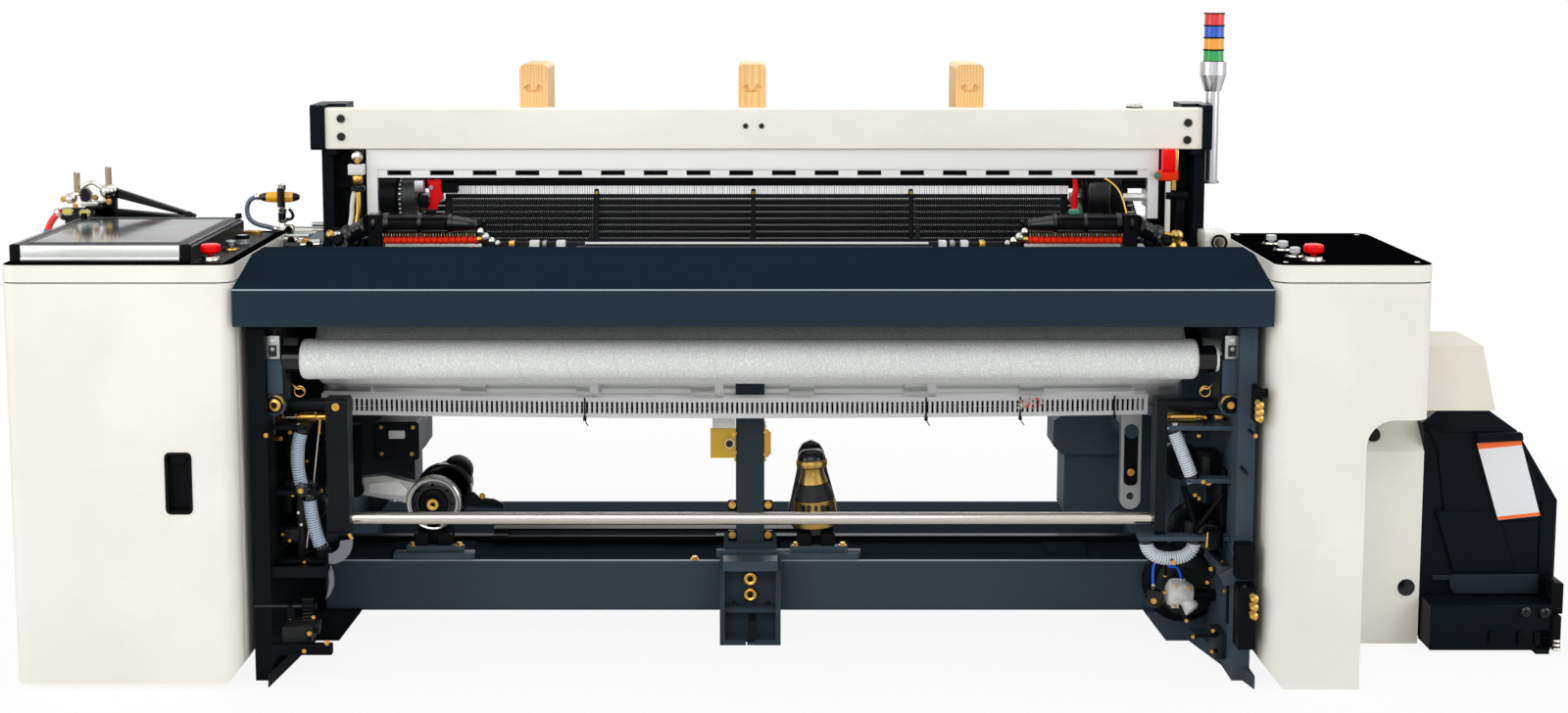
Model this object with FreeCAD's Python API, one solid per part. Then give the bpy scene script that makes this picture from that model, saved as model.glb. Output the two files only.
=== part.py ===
"""A power loom of the jet kind, seen from its cloth side, as separate pieces.

It is drawn in the loom's own frame: x = 0 at the middle of the reed, y = 0 at the front of the
two end cabinets, z = 0 on the floor, +Y towards the warp side. Each piece is moved at the end, so
that the origin is the middle of the loom's footprint on the floor. Lengths are in millimetres.
"""
import FreeCAD, Part
import math
import os

os.makedirs("parts", exist_ok=True)

# Whole loom
RUNNING_FIT = 0.05
SIDE_GAP = 0.3
SHEET = 3.0

# End cabinets
CABINET_HEIGHT = 972.0
RIM_HEIGHT = 38.0
SEAM = 3.0
SEAM_INSET = 6.0
RIM_EDGE = 13.0
DECK_THICKNESS = 8.0
LEFT_CABINET_LEFT = -1672.0
LEFT_CABINET_RIGHT = -1156.0
DOOR_GAP = 1.0
LEFT_CABINET_DEPTH = 600.0
LEFT_CORNER = 34.0
DOOR_DEPTH = 45.0
DOOR_BOTTOM = 14.0
CABINET_WALL = 4.0
FOOT_CUT_WIDTH = 44.0
FOOT_CUT_HEIGHT = 54.0
HANDLE_LEFT = -1311.0
HANDLE_WIDTH = 49.0
HANDLE_BOTTOM = 413.0
HANDLE_HEIGHT = 130.0
HANDLE_DEPTH = 22.0
RIGHT_CABINET_LEFT = 1160.0
RIGHT_CABINET_RIGHT = 1518.0
RIGHT_CABINET_DEPTH = 555.0
RIGHT_CORNER = 42.0
NOTCH_LEFT = 1375.0
NOTCH_TOP = 622.0
NOTCH_RADIUS = 62.0
CABINET_HOLLOW_INSET = 15.0

# Touch panel and buttons
PANEL_WIDTH = 399.0
PANEL_LEFT = -1653.0
PANEL_FRONT = 30.0
PANEL_DEPTH = 500.0
PANEL_HEIGHT = 43.0
PANEL_BEVEL = 9.0
SCREEN_BORDER = 34.0
SCREEN_THICKNESS = 4.0
MUSHROOM_RADIUS = 22.0
MUSHROOM_HEIGHT = 20.0
MUSHROOM_COLLAR_RADIUS = 17.0
MUSHROOM_COLLAR_HEIGHT = 12.0
MUSHROOM_TRAVEL = 6.0
CAP_RADIUS = 12.0
CAP_HEIGHT = 12.0
BEZEL_RADIUS = 17.0
BEZEL_HEIGHT = 6.0
BUTTON_TRAVEL = 4.0
STEM_RADIUS = 7.0
STEM_HOLE_GAP = 0.4
STEM_LENGTH = 30.0
LEFT_BUTTON_X = -1219.0
LEFT_STOP_Y = 75.0
LEFT_START_Y = 255.0
LEFT_LAMP_Y = 370.0
RIGHT_BUTTON_X = 1237.0
RIGHT_BUTTON_Y = 139.0
RIGHT_BUTTON_PITCH = 109.0
RIGHT_STOP_X = 1262.0
RIGHT_STOP_Y = 72.0

# Side boxes and drive at the right end
SIDE_BOX_WIDTH = 161.0
SIDE_BOX_FRONT = 150.0
SIDE_BOX_DEPTH = 190.0
SIDE_BOX_TOP = 764.0
SIDE_BOX_BOTTOM = 612.0
SIDE_BOX_FLARE = 34.0
LOW_COVER_FRONT = 324.0
LOW_COVER_REAR = 700.0
LOW_COVER_TOP = 539.0
LOW_COVER_SLOPE = 64.0
LOW_COVER_PEEP_X = 1577.0
LOW_COVER_PEEP_Z = 140.0
LOW_COVER_PEEP_RADIUS = 19.5
DRIVE_LEFT = 1609.0
DRIVE_RIGHT = 1935.0
DRIVE_FRONT = 330.0
DRIVE_REAR = 880.0
DRIVE_BOTTOM = 122.0
DRIVE_TOP = 568.0
DRIVE_CHAMFER = 46.0
DRIVE_SHEET = 4.0
SHAFT_Y = 620.0
SHAFT_Z = 360.0
SHAFT_RADIUS = 25.0
MOTOR_LEFT = 1660.0
MOTOR_LENGTH = 190.0
MOTOR_RADIUS = 115.0
BRAKE_RADIUS = 60.0
STAND_THICKNESS = 102.0
STAND_FOOT_FRONT = 245.0

# Side frames
FRAME_OUTSIDE = 1140.0
FRAME_PLATE = 40.0
FRAME_FRONT = 60.0
FRAME_REAR = 1440.0
FRAME_SLOPE_SETBACK = 260.0
FRAME_HEEL_SETBACK = 100.0
WINDOW_FRONT = 680.0
WINDOW_SETBACK = 400.0
FRAME_TOP = 940.0
RIB_INSIDE = 1040.0
RIB_FRONT = 400.0
RIB_WIDTH = 80.0
WINDOW_WIDTH = 300.0
WINDOW_HEIGHT = 320.0
FOOT_HEIGHT = 71.0
FOOT_INSIDE = 1005.0
FOOT_FRONT = 345.0
STAY_FRONT = 375.0
STAY_DEPTH = 188.0
STAY_BOTTOM = 65.0
STAY_HEIGHT = 127.0
REAR_STAY_SETBACK = 290.0
REAR_STAY_DEPTH = 100.0
REAR_STAY_BOTTOM = 30.0
REAR_STAY_HEIGHT = 80.0
BOX_Z = 411.0
BOX_HEIGHT = 100.0
LEFT_BOX_INSIDE = -823.0
RIGHT_BOX_INSIDE = 757.0
BOX_FRONT = 560.0
BOX_DEPTH = 150.0
BOX_MARGIN = 30.0
LEFT_SKIRT_BOTTOM = 316.0
RIGHT_SKIRT_BOTTOM = 255.0
TRAY_Z = 240.0
TRAY_THICKNESS = 25.0
FOOT_SHELF_INSIDE = 1060.0
FOOT_SHELF_HEIGHT = 30.0
LEFT_TRAY_INSIDE = 975.0
RIGHT_TRAY_INSIDE = 1070.0

# Breast beam and front cover
COVER_BOTTOM = 834.0
COVER_KNEE = 917.0
COVER_TOP = 970.0
COVER_SLOPE_DEPTH = 200.0
COVER_DEPTH = 320.0
COVER_LIP = 25.0
BREAST_FRONT = 215.0
BREAST_REAR = 345.0
BREAST_BOTTOM = 850.0
LEDGE_REAR = 384.0
LEDGE_TOP = 958.0
LEDGE_THICKNESS = 23.0

# Rollers
PRESS_Y = 110.0
ROLLER_Z = 741.0
PRESS_RADIUS = 46.0
PRESS_LEFT = -1027.0
PRESS_RIGHT = 1012.0
TAKE_UP_RADIUS = 82.0
TAKE_UP_LEFT = -1010.0
TAKE_UP_RIGHT = 1000.0
ROLLER_NIP = 0.4
COLLAR_RADIUS = 29.0
JOURNAL_RADIUS = 18.0
TAKE_UP_JOURNAL = 25.0
ROLLER_EDGE = 12.0
BRACKET_WIDTH = 40.0
BRACKET_DEPTH = 50.0
BRACKET_BOTTOM = 625.0
BRACKET_TOP = 752.0
BRACKET_PLATE_WIDTH = 32.0
CLOTH_SHAFT_Y = 150.0
CLOTH_SHAFT_Z = 358.0
CLOTH_SHAFT_RADIUS = 14.0
ARM_LEFT = -979.0
ARM_LEFT_WIDTH = 50.0
ARM_RIGHT = 927.0
ARM_RIGHT_WIDTH = 25.0
ARM_BOTTOM = 326.0
ARM_TOP = 645.0
ARM_DEPTH = 60.0
ARM_PIN_Z = 628.0
ARM_PIN_RADIUS = 14.0

# Slotted cable duct
DUCT_LEFT = -1030.0
DUCT_RIGHT = 945.0
DUCT_FRONT = 327.0
DUCT_DEPTH = 38.0
DUCT_BOTTOM = 565.0
DUCT_HEIGHT = 49.0
DUCT_SAG = 10.0
DUCT_WALL = 2.0
DUCT_SLOTS = 164
DUCT_SLOT_WIDTH = 5.5
DUCT_SLOT_HEIGHT = 29.0
DUCT_SLOT_BOTTOM = 10.0
HANGER_WIDTH = 20.0
HANGER_PLACES = (-390.0, -90.0, 420.0)

# Centre post and centre foot
POST_LEFT = -41.0
POST_WIDTH = 70.0
POST_FRONT = 440.0
POST_DEPTH = 80.0
POST_BASE_MARGIN = 30.0
POST_BASE_HEIGHT = 30.0
POST_BASE_FRONT_MARGIN = 25.0
POST_HEAD_HALF_DEPTH = 60.0
POST_HEAD_ROUND = 25.0
BEARING_HEIGHT = 110.0
CLAMP_BOTTOM = 432.0
CLAMP_HEIGHT = 74.0
CLAMP_SHEET = 4.0
CLAMP_REACH = 62.0
CLAMP_DEPTH = 40.0
CLAMP_MARGIN = 9.0
CLAMP_EAR = 16.0
CENTRE_FOOT_LEFT = -79.0
CENTRE_FOOT_WIDTH = 147.0
CENTRE_FOOT_HEIGHT = 210.0
CENTRE_FOOT_DEPTH = 65.0
CENTRE_FOOT_PLATE = 12.0
CENTRE_FOOT_LEDGE = 75.0

# Sley, reed and its rocking shaft
ROCK_Y = 480.0
ROCK_Z = 610.0
ROCK_RADIUS = 40.0
SLEY_TILT = 12.0
SWORD_WIDTH = 36.0
SWORD_DEPTH = 50.0
SWORD_PLACES = (-960.0, -680.0, -400.0, -120.0, 120.0, 400.0, 680.0, 960.0)
SLEY_RISE = 300.0
SLEY_BEAM_HEIGHT = 42.0
SLEY_BEAM_DEPTH = 56.0
SLEY_HALF = 1000.0
REED_LEFT = -762.0
REED_RIGHT = 782.0
REED_HEIGHT = 132.0
REED_DEPTH = 12.0
REED_BAULK = 16.0
REED_DENTS = 118
REED_DENT_SHARE = 0.45

# Top beam, its posts and what hangs from it
BEAM_LEFT = -1042.0
BEAM_RIGHT = 1096.0
BEAM_FRONT = 500.0
BEAM_DEPTH = 50.0
BEAM_BOTTOM = 1186.0
BEAM_HEIGHT = 100.0
BEAM_WALL = 5.0
BEAM_CAP_X = 934.0
BEAM_CAP_RADIUS = 18.0
BEAM_CAP_HEIGHT = 12.0
LEFT_BRACKET_WIDTH = 36.0
RIGHT_BRACKET_WIDTH = 24.0
END_BRACKET_REAR = 650.0
POST_LEG_WIDTH = 28.0
POST_LEG_FRONT = 540.0
POST_LEG_DEPTH = 60.0
RAIL_LEFT = -920.0
RAIL_RIGHT = 969.0
RAIL_FRONT = 516.0
RAIL_DEPTH = 24.0
RAIL_HEIGHT = 50.0
COLUMN_WIDTH = 26.0
COLUMN_BOTTOM = 1014.0
SLOT_RAIL_HEIGHT = 22.0
SLOT_RAIL_SLOTS = 18
SLOT_RAIL_SLOT_SHARE = 0.56
GUIDE_PLACES = (-538.0, -1.0, 534.0)
GUIDE_WIDTH = 68.0
GUIDE_DEPTH = 190.0
GUIDE_BOTTOM = 1168.0
GUIDE_TOP = 1391.0
GUIDE_ROUND = 14.0
GUIDE_NOTCH_Z = 1334.0

# Signal tower
TOWER_X = 1141.0
TOWER_Y = 600.0
TOWER_POLE_RADIUS = 16.0
TOWER_POLE_BOTTOM = 1092.0
TOWER_NECK_BOTTOM = 1322.0
TOWER_NECK_TOP = 1396.0
TOWER_NECK_RADIUS = 32.0
TOWER_CLAMP_DEPTH = 30.0
LAMP_RADIUS = 24.6
LAMP_HEIGHT = 29.5
LAMP_COUNT = 4
LAMP_GROOVE = 1.5

# Selvedge devices
LENO_Y = 575.0
LENO_Z = 1060.0
LENO_RADIUS = 50.0
LENO_PIN_RADIUS = 10.0
LEFT_LENO_START = -918.0
LEFT_LENO_LENGTH = 100.0
RIGHT_LENO_START = 811.0
RIGHT_LENO_LENGTH = 100.0
LEFT_LENO_LEVER_WIDTH = 40.0
RIGHT_LENO_LEVER_WIDTH = 10.0
LENO_LEVER_THICKNESS = 9.0

# Temples
TEMPLE_Y = 366.0
TEMPLE_Z = 1020.0
TEMPLE_RADIUS = 21.0
TEMPLE_LENGTH = 183.0
TEMPLE_NOSE = 85.0
LEFT_TEMPLE_END = -914.0
RIGHT_TEMPLE_END = 916.0
TEMPLE_ROLLER_Z = 981.0
TEMPLE_ROLLER_BACK = 8.0
TEMPLE_JOURNAL = 3.5
TEMPLE_ROLLER_RADIUS = 9.0
TEMPLE_ROLLER_RINGS = 16
TEMPLE_FOOT = 34.0

# Jack levers
LEVER_Y = 430.0
LEVER_THICKNESS = 24.0
LEFT_LEVER_X = -783.0
LEFT_LEVER_Z = 320.0
LEVER_HUB_RADIUS = 62.0
LEVER_AXLE_RADIUS = 17.0
LEFT_LEVER_REACH = 187.0
LEFT_LEVER_RISE = 37.0
CENTRE_LEVER_X = 154.0
CENTRE_LEVER_Z = 290.0
CENTRE_LEVER_RISE = 130.0
RIGHT_LEVER_X = 926.0
RIGHT_LEVER_TOP = 500.0
RIGHT_LEVER_LENGTH = 170.0
RIGHT_LEVER_WIDTH = 50.0
RIGHT_LEVER_HEAD = 50.0
PAD_HEIGHT = 14.0
BAR_FRONT = 526.0
BAR_DEPTH = 34.0
BAR_THICKNESS = 8.0
BAR_Z = 222.0
BAR_LEFT = -649.0
SHORT_BAR_RIGHT = -92.0
LONG_BAR_RIGHT = 190.0

# Warp stop rails and back rest
STOP_RAIL_COUNT = 9
STOP_RAIL_FRONT = 870.0
STOP_RAIL_STEP_Y = 30.0
STOP_RAIL_Z = 862.0
STOP_RAIL_STEP_Z = 14.0
STOP_RAIL_THICKNESS = 7.0
STOP_RAIL_HEIGHT = 21.0
STOP_RAIL_HALF = 1040.0
STOP_SUPPORT_PLACES = (-431.0, 0.0, 440.0)
STOP_SUPPORT_WIDTH = 12.0
BACK_REST_SETBACK = 80.0
BACK_REST_Z = 860.0
BACK_REST_RADIUS = 60.0
BACK_REST_HALF = 1020.0
BACK_REST_JOURNAL = 22.0

# Hoses, air valve and nozzle columns
HOSE_RADIUS = 16.0
HOSE_RIB = 1.6
HOSE_WALL = 2.5
HOSE_Y = 130.0
LEFT_HOSE_TOP = 575.0
LEFT_HOSE_MIDDLE = 432.0
RIGHT_HOSE_TOP = 574.0
RIGHT_HOSE_BOTTOM = 460.0
U_HOSE_TOP = 314.0
HOSE_RIBS = 13
HOSE_OVERRUN = 6.0
LUG_DEPTH = 36.0
LUG_INSIDE = 998.0
LEFT_TOP_LUG_INSIDE = 1015.0
MANIFOLD_INSIDE = 891.0
LUG_THICKNESS = 10.0
AIR_LINE_RADIUS = 3.5
RED_TUBE_RADIUS = 9.5
RED_TUBE_OUTREACH = 98.0
CABLE_RADIUS = 5.0
VALVE_X = 1020.0
VALVE_Y = 250.0
VALVE_Z = 144.0
VALVE_RADIUS = 30.0
VALVE_HALF = 36.0
GAUGE_X = 954.0
GAUGE_RADIUS = 19.0
NOZZLE_Y = 520.0
LEFT_NOZZLE_X = -985.0
RIGHT_NOZZLE_X = 1025.0
NOZZLE_BOTTOM = 965.0
FEEDER_SETBACK = 20.0
FEEDER_HALF_DEPTH = 13.0
FEEDER_LOW = 13.0
FEEDER_HIGH = 38.0
CLIP_DROP = 232.0
CLIP_HEIGHT = 30.0
SENSOR_X = -1180.0
SENSOR_INSET = 15.0
SENSOR_HEIGHT = 115.0
SENSOR_EYE_HEIGHT = 83.0
BOLT_RADIUS = 9.0
BOLT_HEIGHT = 7.0

# Sizes worked out from the ones above
BODY_TOP = CABINET_HEIGHT - RIM_HEIGHT - SEAM
TAKE_UP_Y = PRESS_Y + PRESS_RADIUS + TAKE_UP_RADIUS + ROLLER_NIP
FRAME_INSIDE = FRAME_OUTSIDE - FRAME_PLATE
STAY_TOP = STAY_BOTTOM + STAY_HEIGHT
STAY_REAR = STAY_FRONT + STAY_DEPTH
BEAM_TOP = BEAM_BOTTOM + BEAM_HEIGHT
BEAM_REAR = BEAM_FRONT + BEAM_DEPTH
BREAST_TOP = COVER_TOP - SHEET
DECK_Z = CABINET_HEIGHT
STEM_HOLE = STEM_RADIUS + STEM_HOLE_GAP
LEFT_HOLES = [(LEFT_BUTTON_X, LEFT_STOP_Y, STEM_HOLE), (LEFT_BUTTON_X, LEFT_START_Y, STEM_HOLE)]
RIGHT_HOLES = [(RIGHT_STOP_X, RIGHT_STOP_Y, STEM_HOLE)]
for step in range(3):
    RIGHT_HOLES.append((RIGHT_BUTTON_X, RIGHT_BUTTON_Y + step * RIGHT_BUTTON_PITCH, STEM_HOLE))
TEMPLE_ROLLER_Y = TEMPLE_Y - TEMPLE_ROLLER_BACK
RED_TUBE_REACH = LEFT_CABINET_LEFT - RED_TUBE_OUTREACH
FEEDER_Y = LEFT_CABINET_DEPTH + FEEDER_SETBACK
SENSOR_Y = LEFT_CABINET_DEPTH - SENSOR_INSET
SENSOR_TOP = CABINET_HEIGHT + SENSOR_HEIGHT
SENSOR_EYE_Z = CABINET_HEIGHT + SENSOR_EYE_HEIGHT
BACK_REST_Y = FRAME_REAR - BACK_REST_SETBACK
REAR_STAY_FRONT = FRAME_REAR - REAR_STAY_SETBACK


def point(x, y, z):
    return FreeCAD.Vector(x, y, z)


def block(x0, x1, y0, y1, z0, z1):
    """A box between two corners."""
    return Part.makeBox(x1 - x0, y1 - y0, z1 - z0, point(x0, y0, z0))


def rod_x(x0, x1, y, z, radius):
    return Part.makeCylinder(radius, x1 - x0, point(x0, y, z), point(1, 0, 0))


def rod_y(x, y0, y1, z, radius):
    return Part.makeCylinder(radius, y1 - y0, point(x, y0, z), point(0, 1, 0))


def rod_z(x, y, z0, z1, radius):
    return Part.makeCylinder(radius, z1 - z0, point(x, y, z0), point(0, 0, 1))


def prism_x(outline, x0, x1):
    """An outline of (y, z) points drawn out along x."""
    corners = [point(x0, y, z) for y, z in outline]
    return Part.Face(Part.makePolygon(corners + corners[:1])).extrude(point(x1 - x0, 0, 0))


def prism_y(outline, y0, y1):
    """An outline of (x, z) points drawn out along y."""
    corners = [point(x, y0, z) for x, z in outline]
    return Part.Face(Part.makePolygon(corners + corners[:1])).extrude(point(0, y1 - y0, 0))


def prism_z(outline, z0, z1):
    """An outline of (x, y) points drawn out along z."""
    corners = [point(x, y, z0) for x, y in outline]
    return Part.Face(Part.makePolygon(corners + corners[:1])).extrude(point(0, 0, z1 - z0))


def round_edges(shape, radius, direction, x=None, y=None, z=None):
    """Round the straight edges along one direction whose middles have the given coordinates."""
    wanted = []
    for edge in shape.Edges:
        ends = [vertex.Point for vertex in edge.Vertexes]
        if len(ends) != 2 or not isinstance(edge.Curve, Part.Line):
            continue
        along = (ends[1] - ends[0]).normalize()
        if abs(abs(along.dot(point(*direction))) - 1) > 1e-6:
            continue
        middle = (ends[0] + ends[1]) * 0.5
        places = ((middle.x, x), (middle.y, y), (middle.z, z))
        if all(wish is None or abs(value - wish) < 0.01 for value, wish in places):
            wanted.append(edge)
    return shape.makeFillet(radius, wanted)


def fuse(first, *others):
    """Join pieces that are made as one, and drop the seams between them."""
    return first.multiFuse(list(others)).removeSplitter()


def group(*solids):
    """Separate solids of one kind that share a node."""
    return Part.makeCompound(list(solids))


def turned_profile(outline, y, z):
    """A profile of (x, radius) points turned about the x line through (y, z)."""
    corners = [point(x, y, z + radius) for x, radius in outline]
    first, last = outline[0][0], outline[-1][0]
    corners = [point(first, y, z)] + corners + [point(last, y, z)]
    face = Part.Face(Part.makePolygon(corners + corners[:1]))
    return face.revolve(point(0, y, z), point(1, 0, 0), 360)


def mirrored(shape):
    """The same piece on the other side of the reed's middle."""
    return shape.mirror(point(0, 0, 0), point(1, 0, 0))


# ---- end cabinets ----

def foot_cut(edge_x, width):
    """The wedge that is cut from a cabinet's lower inner corner."""
    reach = 10.0
    outline = [(edge_x - width, -reach), (edge_x - width, 0), (edge_x, FOOT_CUT_HEIGHT)]
    outline += [(edge_x + math.copysign(reach, width), FOOT_CUT_HEIGHT)]
    outline += [(edge_x + math.copysign(reach, width), -reach)]
    return prism_y(outline, -reach, LEFT_CABINET_DEPTH + reach)


def cabinet_block(x0, x1, y0, y1, z0, z1, corner, grow=0.0):
    """An upright block with round front corners, drawn in by grow on each side."""
    body = block(x0 + grow, x1 - grow, y0 + grow, y1 - grow, z0, z1)
    return round_edges(body, corner - grow, (0, 0, 1), y=y0 + grow)


def left_cabinet():
    outer = block(LEFT_CABINET_LEFT, LEFT_CABINET_RIGHT, DOOR_DEPTH + SEAM, LEFT_CABINET_DEPTH, 0, BODY_TOP)
    inner = block(LEFT_CABINET_LEFT + CABINET_WALL, LEFT_CABINET_RIGHT - CABINET_WALL, 0,
                  LEFT_CABINET_DEPTH - CABINET_WALL, FOOT_CUT_HEIGHT + CABINET_WALL, BODY_TOP - CABINET_WALL)
    return outer.cut(foot_cut(LEFT_CABINET_RIGHT, FOOT_CUT_WIDTH)).cut(inner)


def left_door():
    x0, x1 = LEFT_CABINET_LEFT, LEFT_CABINET_RIGHT - DOOR_GAP
    depth = DOOR_DEPTH + LEFT_CORNER
    pan = cabinet_block(x0, x1, 0, depth, DOOR_BOTTOM, BODY_TOP, LEFT_CORNER)
    hollow = cabinet_block(x0, x1, 0, depth, DOOR_BOTTOM + SHEET, BODY_TOP - SHEET, LEFT_CORNER, SHEET)
    wedge = foot_cut(x1, FOOT_CUT_WIDTH)
    pan = pan.cut(block(x0, x1, DOOR_DEPTH, depth, DOOR_BOTTOM, BODY_TOP)).cut(wedge)
    hollow = hollow.cut(wedge.translated(point(-SHEET, 0, SHEET)))
    cup = block(HANDLE_LEFT - SHEET, HANDLE_LEFT + HANDLE_WIDTH + SHEET, SHEET, HANDLE_DEPTH + SHEET,
                HANDLE_BOTTOM - SHEET, HANDLE_BOTTOM + HANDLE_HEIGHT + SHEET)
    recess = block(HANDLE_LEFT, HANDLE_LEFT + HANDLE_WIDTH, 0, HANDLE_DEPTH,
                   HANDLE_BOTTOM, HANDLE_BOTTOM + HANDLE_HEIGHT)
    return fuse(pan.cut(hollow), cup).cut(recess)


def top_rim(x0, x1, depth, corner, holes):
    """The moulded lid of a cabinet, with a raised edge round its deck."""
    lid = cabinet_block(x0, x1, 0, depth, BODY_TOP + SEAM, CABINET_HEIGHT, corner)
    collar = block(x0 + corner, x1 - corner, corner, depth - SEAM_INSET, BODY_TOP, BODY_TOP + SEAM)
    lid = fuse(lid, collar)
    lid = lid.cut(deck(x0, x1, depth, corner))
    for x, y, radius in holes:
        lid = lid.cut(rod_z(x, y, BODY_TOP, CABINET_HEIGHT, radius))
    return lid


def deck(x0, x1, depth, corner):
    """The plate that lies in a lid's recess."""
    return cabinet_block(x0, x1, 0, depth, CABINET_HEIGHT - DECK_THICKNESS, CABINET_HEIGHT, corner, RIM_EDGE)


def left_top_rim():
    return top_rim(LEFT_CABINET_LEFT, LEFT_CABINET_RIGHT, LEFT_CABINET_DEPTH, LEFT_CORNER, LEFT_HOLES)


def right_top_rim():
    return top_rim(RIGHT_CABINET_LEFT, RIGHT_CABINET_RIGHT, RIGHT_CABINET_DEPTH, RIGHT_CORNER, RIGHT_HOLES)


def touch_panel():
    """The dark deck and the flat operator panel that stands on it, with button collars beside it."""
    plate = deck(LEFT_CABINET_LEFT, LEFT_CABINET_RIGHT, LEFT_CABINET_DEPTH, LEFT_CORNER)
    housing = block(PANEL_LEFT, PANEL_LEFT + PANEL_WIDTH, PANEL_FRONT, PANEL_FRONT + PANEL_DEPTH,
                    DECK_Z, DECK_Z + PANEL_HEIGHT)
    top = [edge for edge in housing.Edges if edge.BoundBox.ZMin > DECK_Z + PANEL_HEIGHT - 1]
    housing = housing.makeChamfer(PANEL_BEVEL, top)
    collar = rod_z(LEFT_BUTTON_X, LEFT_STOP_Y, DECK_Z, DECK_Z + MUSHROOM_COLLAR_HEIGHT, MUSHROOM_COLLAR_RADIUS)
    bezel = rod_z(LEFT_BUTTON_X, LEFT_START_Y, DECK_Z, DECK_Z + BEZEL_HEIGHT, BEZEL_RADIUS)
    lamp = rod_z(LEFT_BUTTON_X, LEFT_LAMP_Y, DECK_Z, DECK_Z + MUSHROOM_HEIGHT, BEZEL_RADIUS)
    panel = fuse(plate, housing, collar, bezel, lamp).cut(touch_screen())
    for x, y, radius in LEFT_HOLES:
        panel = panel.cut(rod_z(x, y, BODY_TOP, DECK_Z + PANEL_HEIGHT, radius))
    return panel


def touch_screen():
    x0, y0 = PANEL_LEFT + SCREEN_BORDER, PANEL_FRONT + SCREEN_BORDER
    x1 = PANEL_LEFT + PANEL_WIDTH - SCREEN_BORDER
    y1 = PANEL_FRONT + PANEL_DEPTH - SCREEN_BORDER
    top = DECK_Z + PANEL_HEIGHT
    return block(x0, x1, y0, y1, top - SCREEN_THICKNESS, top)


def mushroom(x, y):
    """A stop button: a wide head on a stem, held up by its travel above the collar."""
    foot = DECK_Z + MUSHROOM_COLLAR_HEIGHT + MUSHROOM_TRAVEL + SIDE_GAP
    head = rod_z(x, y, foot, foot + MUSHROOM_HEIGHT, MUSHROOM_RADIUS)
    rims = [edge for edge in head.Edges if isinstance(edge.Curve, Part.Circle)]
    head = head.makeFillet(MUSHROOM_HEIGHT * 0.3, rims)
    return fuse(head, rod_z(x, y, foot - STEM_LENGTH, foot + 1, STEM_RADIUS))


def push_button(x, y):
    foot = DECK_Z + BEZEL_HEIGHT + BUTTON_TRAVEL + SIDE_GAP
    cap = rod_z(x, y, foot, foot + CAP_HEIGHT, CAP_RADIUS)
    rim = [edge for edge in cap.Edges if edge.BoundBox.ZMin > foot + CAP_HEIGHT / 2]
    cap = cap.makeChamfer(CAP_HEIGHT * 0.2, rim)
    return fuse(cap, rod_z(x, y, foot - STEM_LENGTH, foot + 1, STEM_RADIUS))


def right_glass_panel():
    plate = deck(RIGHT_CABINET_LEFT, RIGHT_CABINET_RIGHT, RIGHT_CABINET_DEPTH, RIGHT_CORNER)
    stop_x, stop_y, hole = RIGHT_HOLES[0]
    plate = fuse(plate, rod_z(stop_x, stop_y, DECK_Z, DECK_Z + MUSHROOM_COLLAR_HEIGHT, MUSHROOM_COLLAR_RADIUS),
                 *[rod_z(x, y, DECK_Z, DECK_Z + BEZEL_HEIGHT, BEZEL_RADIUS) for x, y, _ in RIGHT_HOLES[1:]])
    for x, y, radius in RIGHT_HOLES:
        plate = plate.cut(rod_z(x, y, BODY_TOP, DECK_Z + PANEL_HEIGHT, radius))
    return plate


def right_cabinet():
    x0, x1, depth = RIGHT_CABINET_LEFT, RIGHT_CABINET_RIGHT, RIGHT_CABINET_DEPTH
    body = cabinet_block(x0, x1, 0, depth, 0, BODY_TOP, RIGHT_CORNER)
    beyond = x1 + RIGHT_CORNER
    notch = block(NOTCH_LEFT, beyond, -1, depth + 1, -1, NOTCH_TOP)
    notch = round_edges(notch, NOTCH_RADIUS, (0, 1, 0), x=NOTCH_LEFT, z=NOTCH_TOP)
    inset = CABINET_HOLLOW_INSET
    hollow = block(x0 + inset, NOTCH_LEFT - inset, inset, depth - inset, -1, BODY_TOP - inset)
    wedge = foot_cut(x0, -FOOT_CUT_WIDTH)
    return body.cut(notch).cut(wedge).cut(hollow.cut(wedge.translated(point(inset, 0, inset))))


def upper_side_box():
    x0, front = RIGHT_CABINET_RIGHT, SIDE_BOX_FRONT

    def body(inset):
        x1 = x0 + SIDE_BOX_WIDTH - inset
        low, high = SIDE_BOX_BOTTOM + inset, SIDE_BOX_TOP - inset
        outline = [(x0 + inset, low), (x0 + inset, high), (x1, high), (x1 + SIDE_BOX_FLARE, low)]
        return prism_y(outline, front + inset, front + SIDE_BOX_DEPTH - inset)
    return body(0).cut(body(SHEET))


def lower_side_cover():
    front, rear, top = LOW_COVER_FRONT, LOW_COVER_REAR, LOW_COVER_TOP

    def body(inset, behind):
        high = top - inset
        outline = [(front + inset, 0), (front + inset, high - LOW_COVER_SLOPE)]
        outline += [(front + inset + LOW_COVER_SLOPE, high), (behind, high), (behind, 0)]
        return prism_x(outline, NOTCH_LEFT + inset, DRIVE_LEFT - inset)
    cover = body(0, rear).cut(body(SHEET, rear + SHEET))
    peep = rod_y(LOW_COVER_PEEP_X, front - SHEET, front + 2 * SHEET, LOW_COVER_PEEP_Z, LOW_COVER_PEEP_RADIUS)
    way = rod_x(NOTCH_LEFT - SHEET, DRIVE_LEFT + SHEET, SHAFT_Y, SHAFT_Z, 2 * SHAFT_RADIUS)
    return cover.cut(peep).cut(way)


def drive_outline(inset):
    left, right = DRIVE_LEFT + inset, DRIVE_RIGHT - inset
    low, high = DRIVE_BOTTOM, DRIVE_TOP - inset
    outline = [(left, low), (left, high - 28), (left + 49, high), (left + 164 - inset, high)]
    outline += [(left + 222 - 2 * inset, high - 43), (right, high - 214), (right, low)]
    return outline


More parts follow.
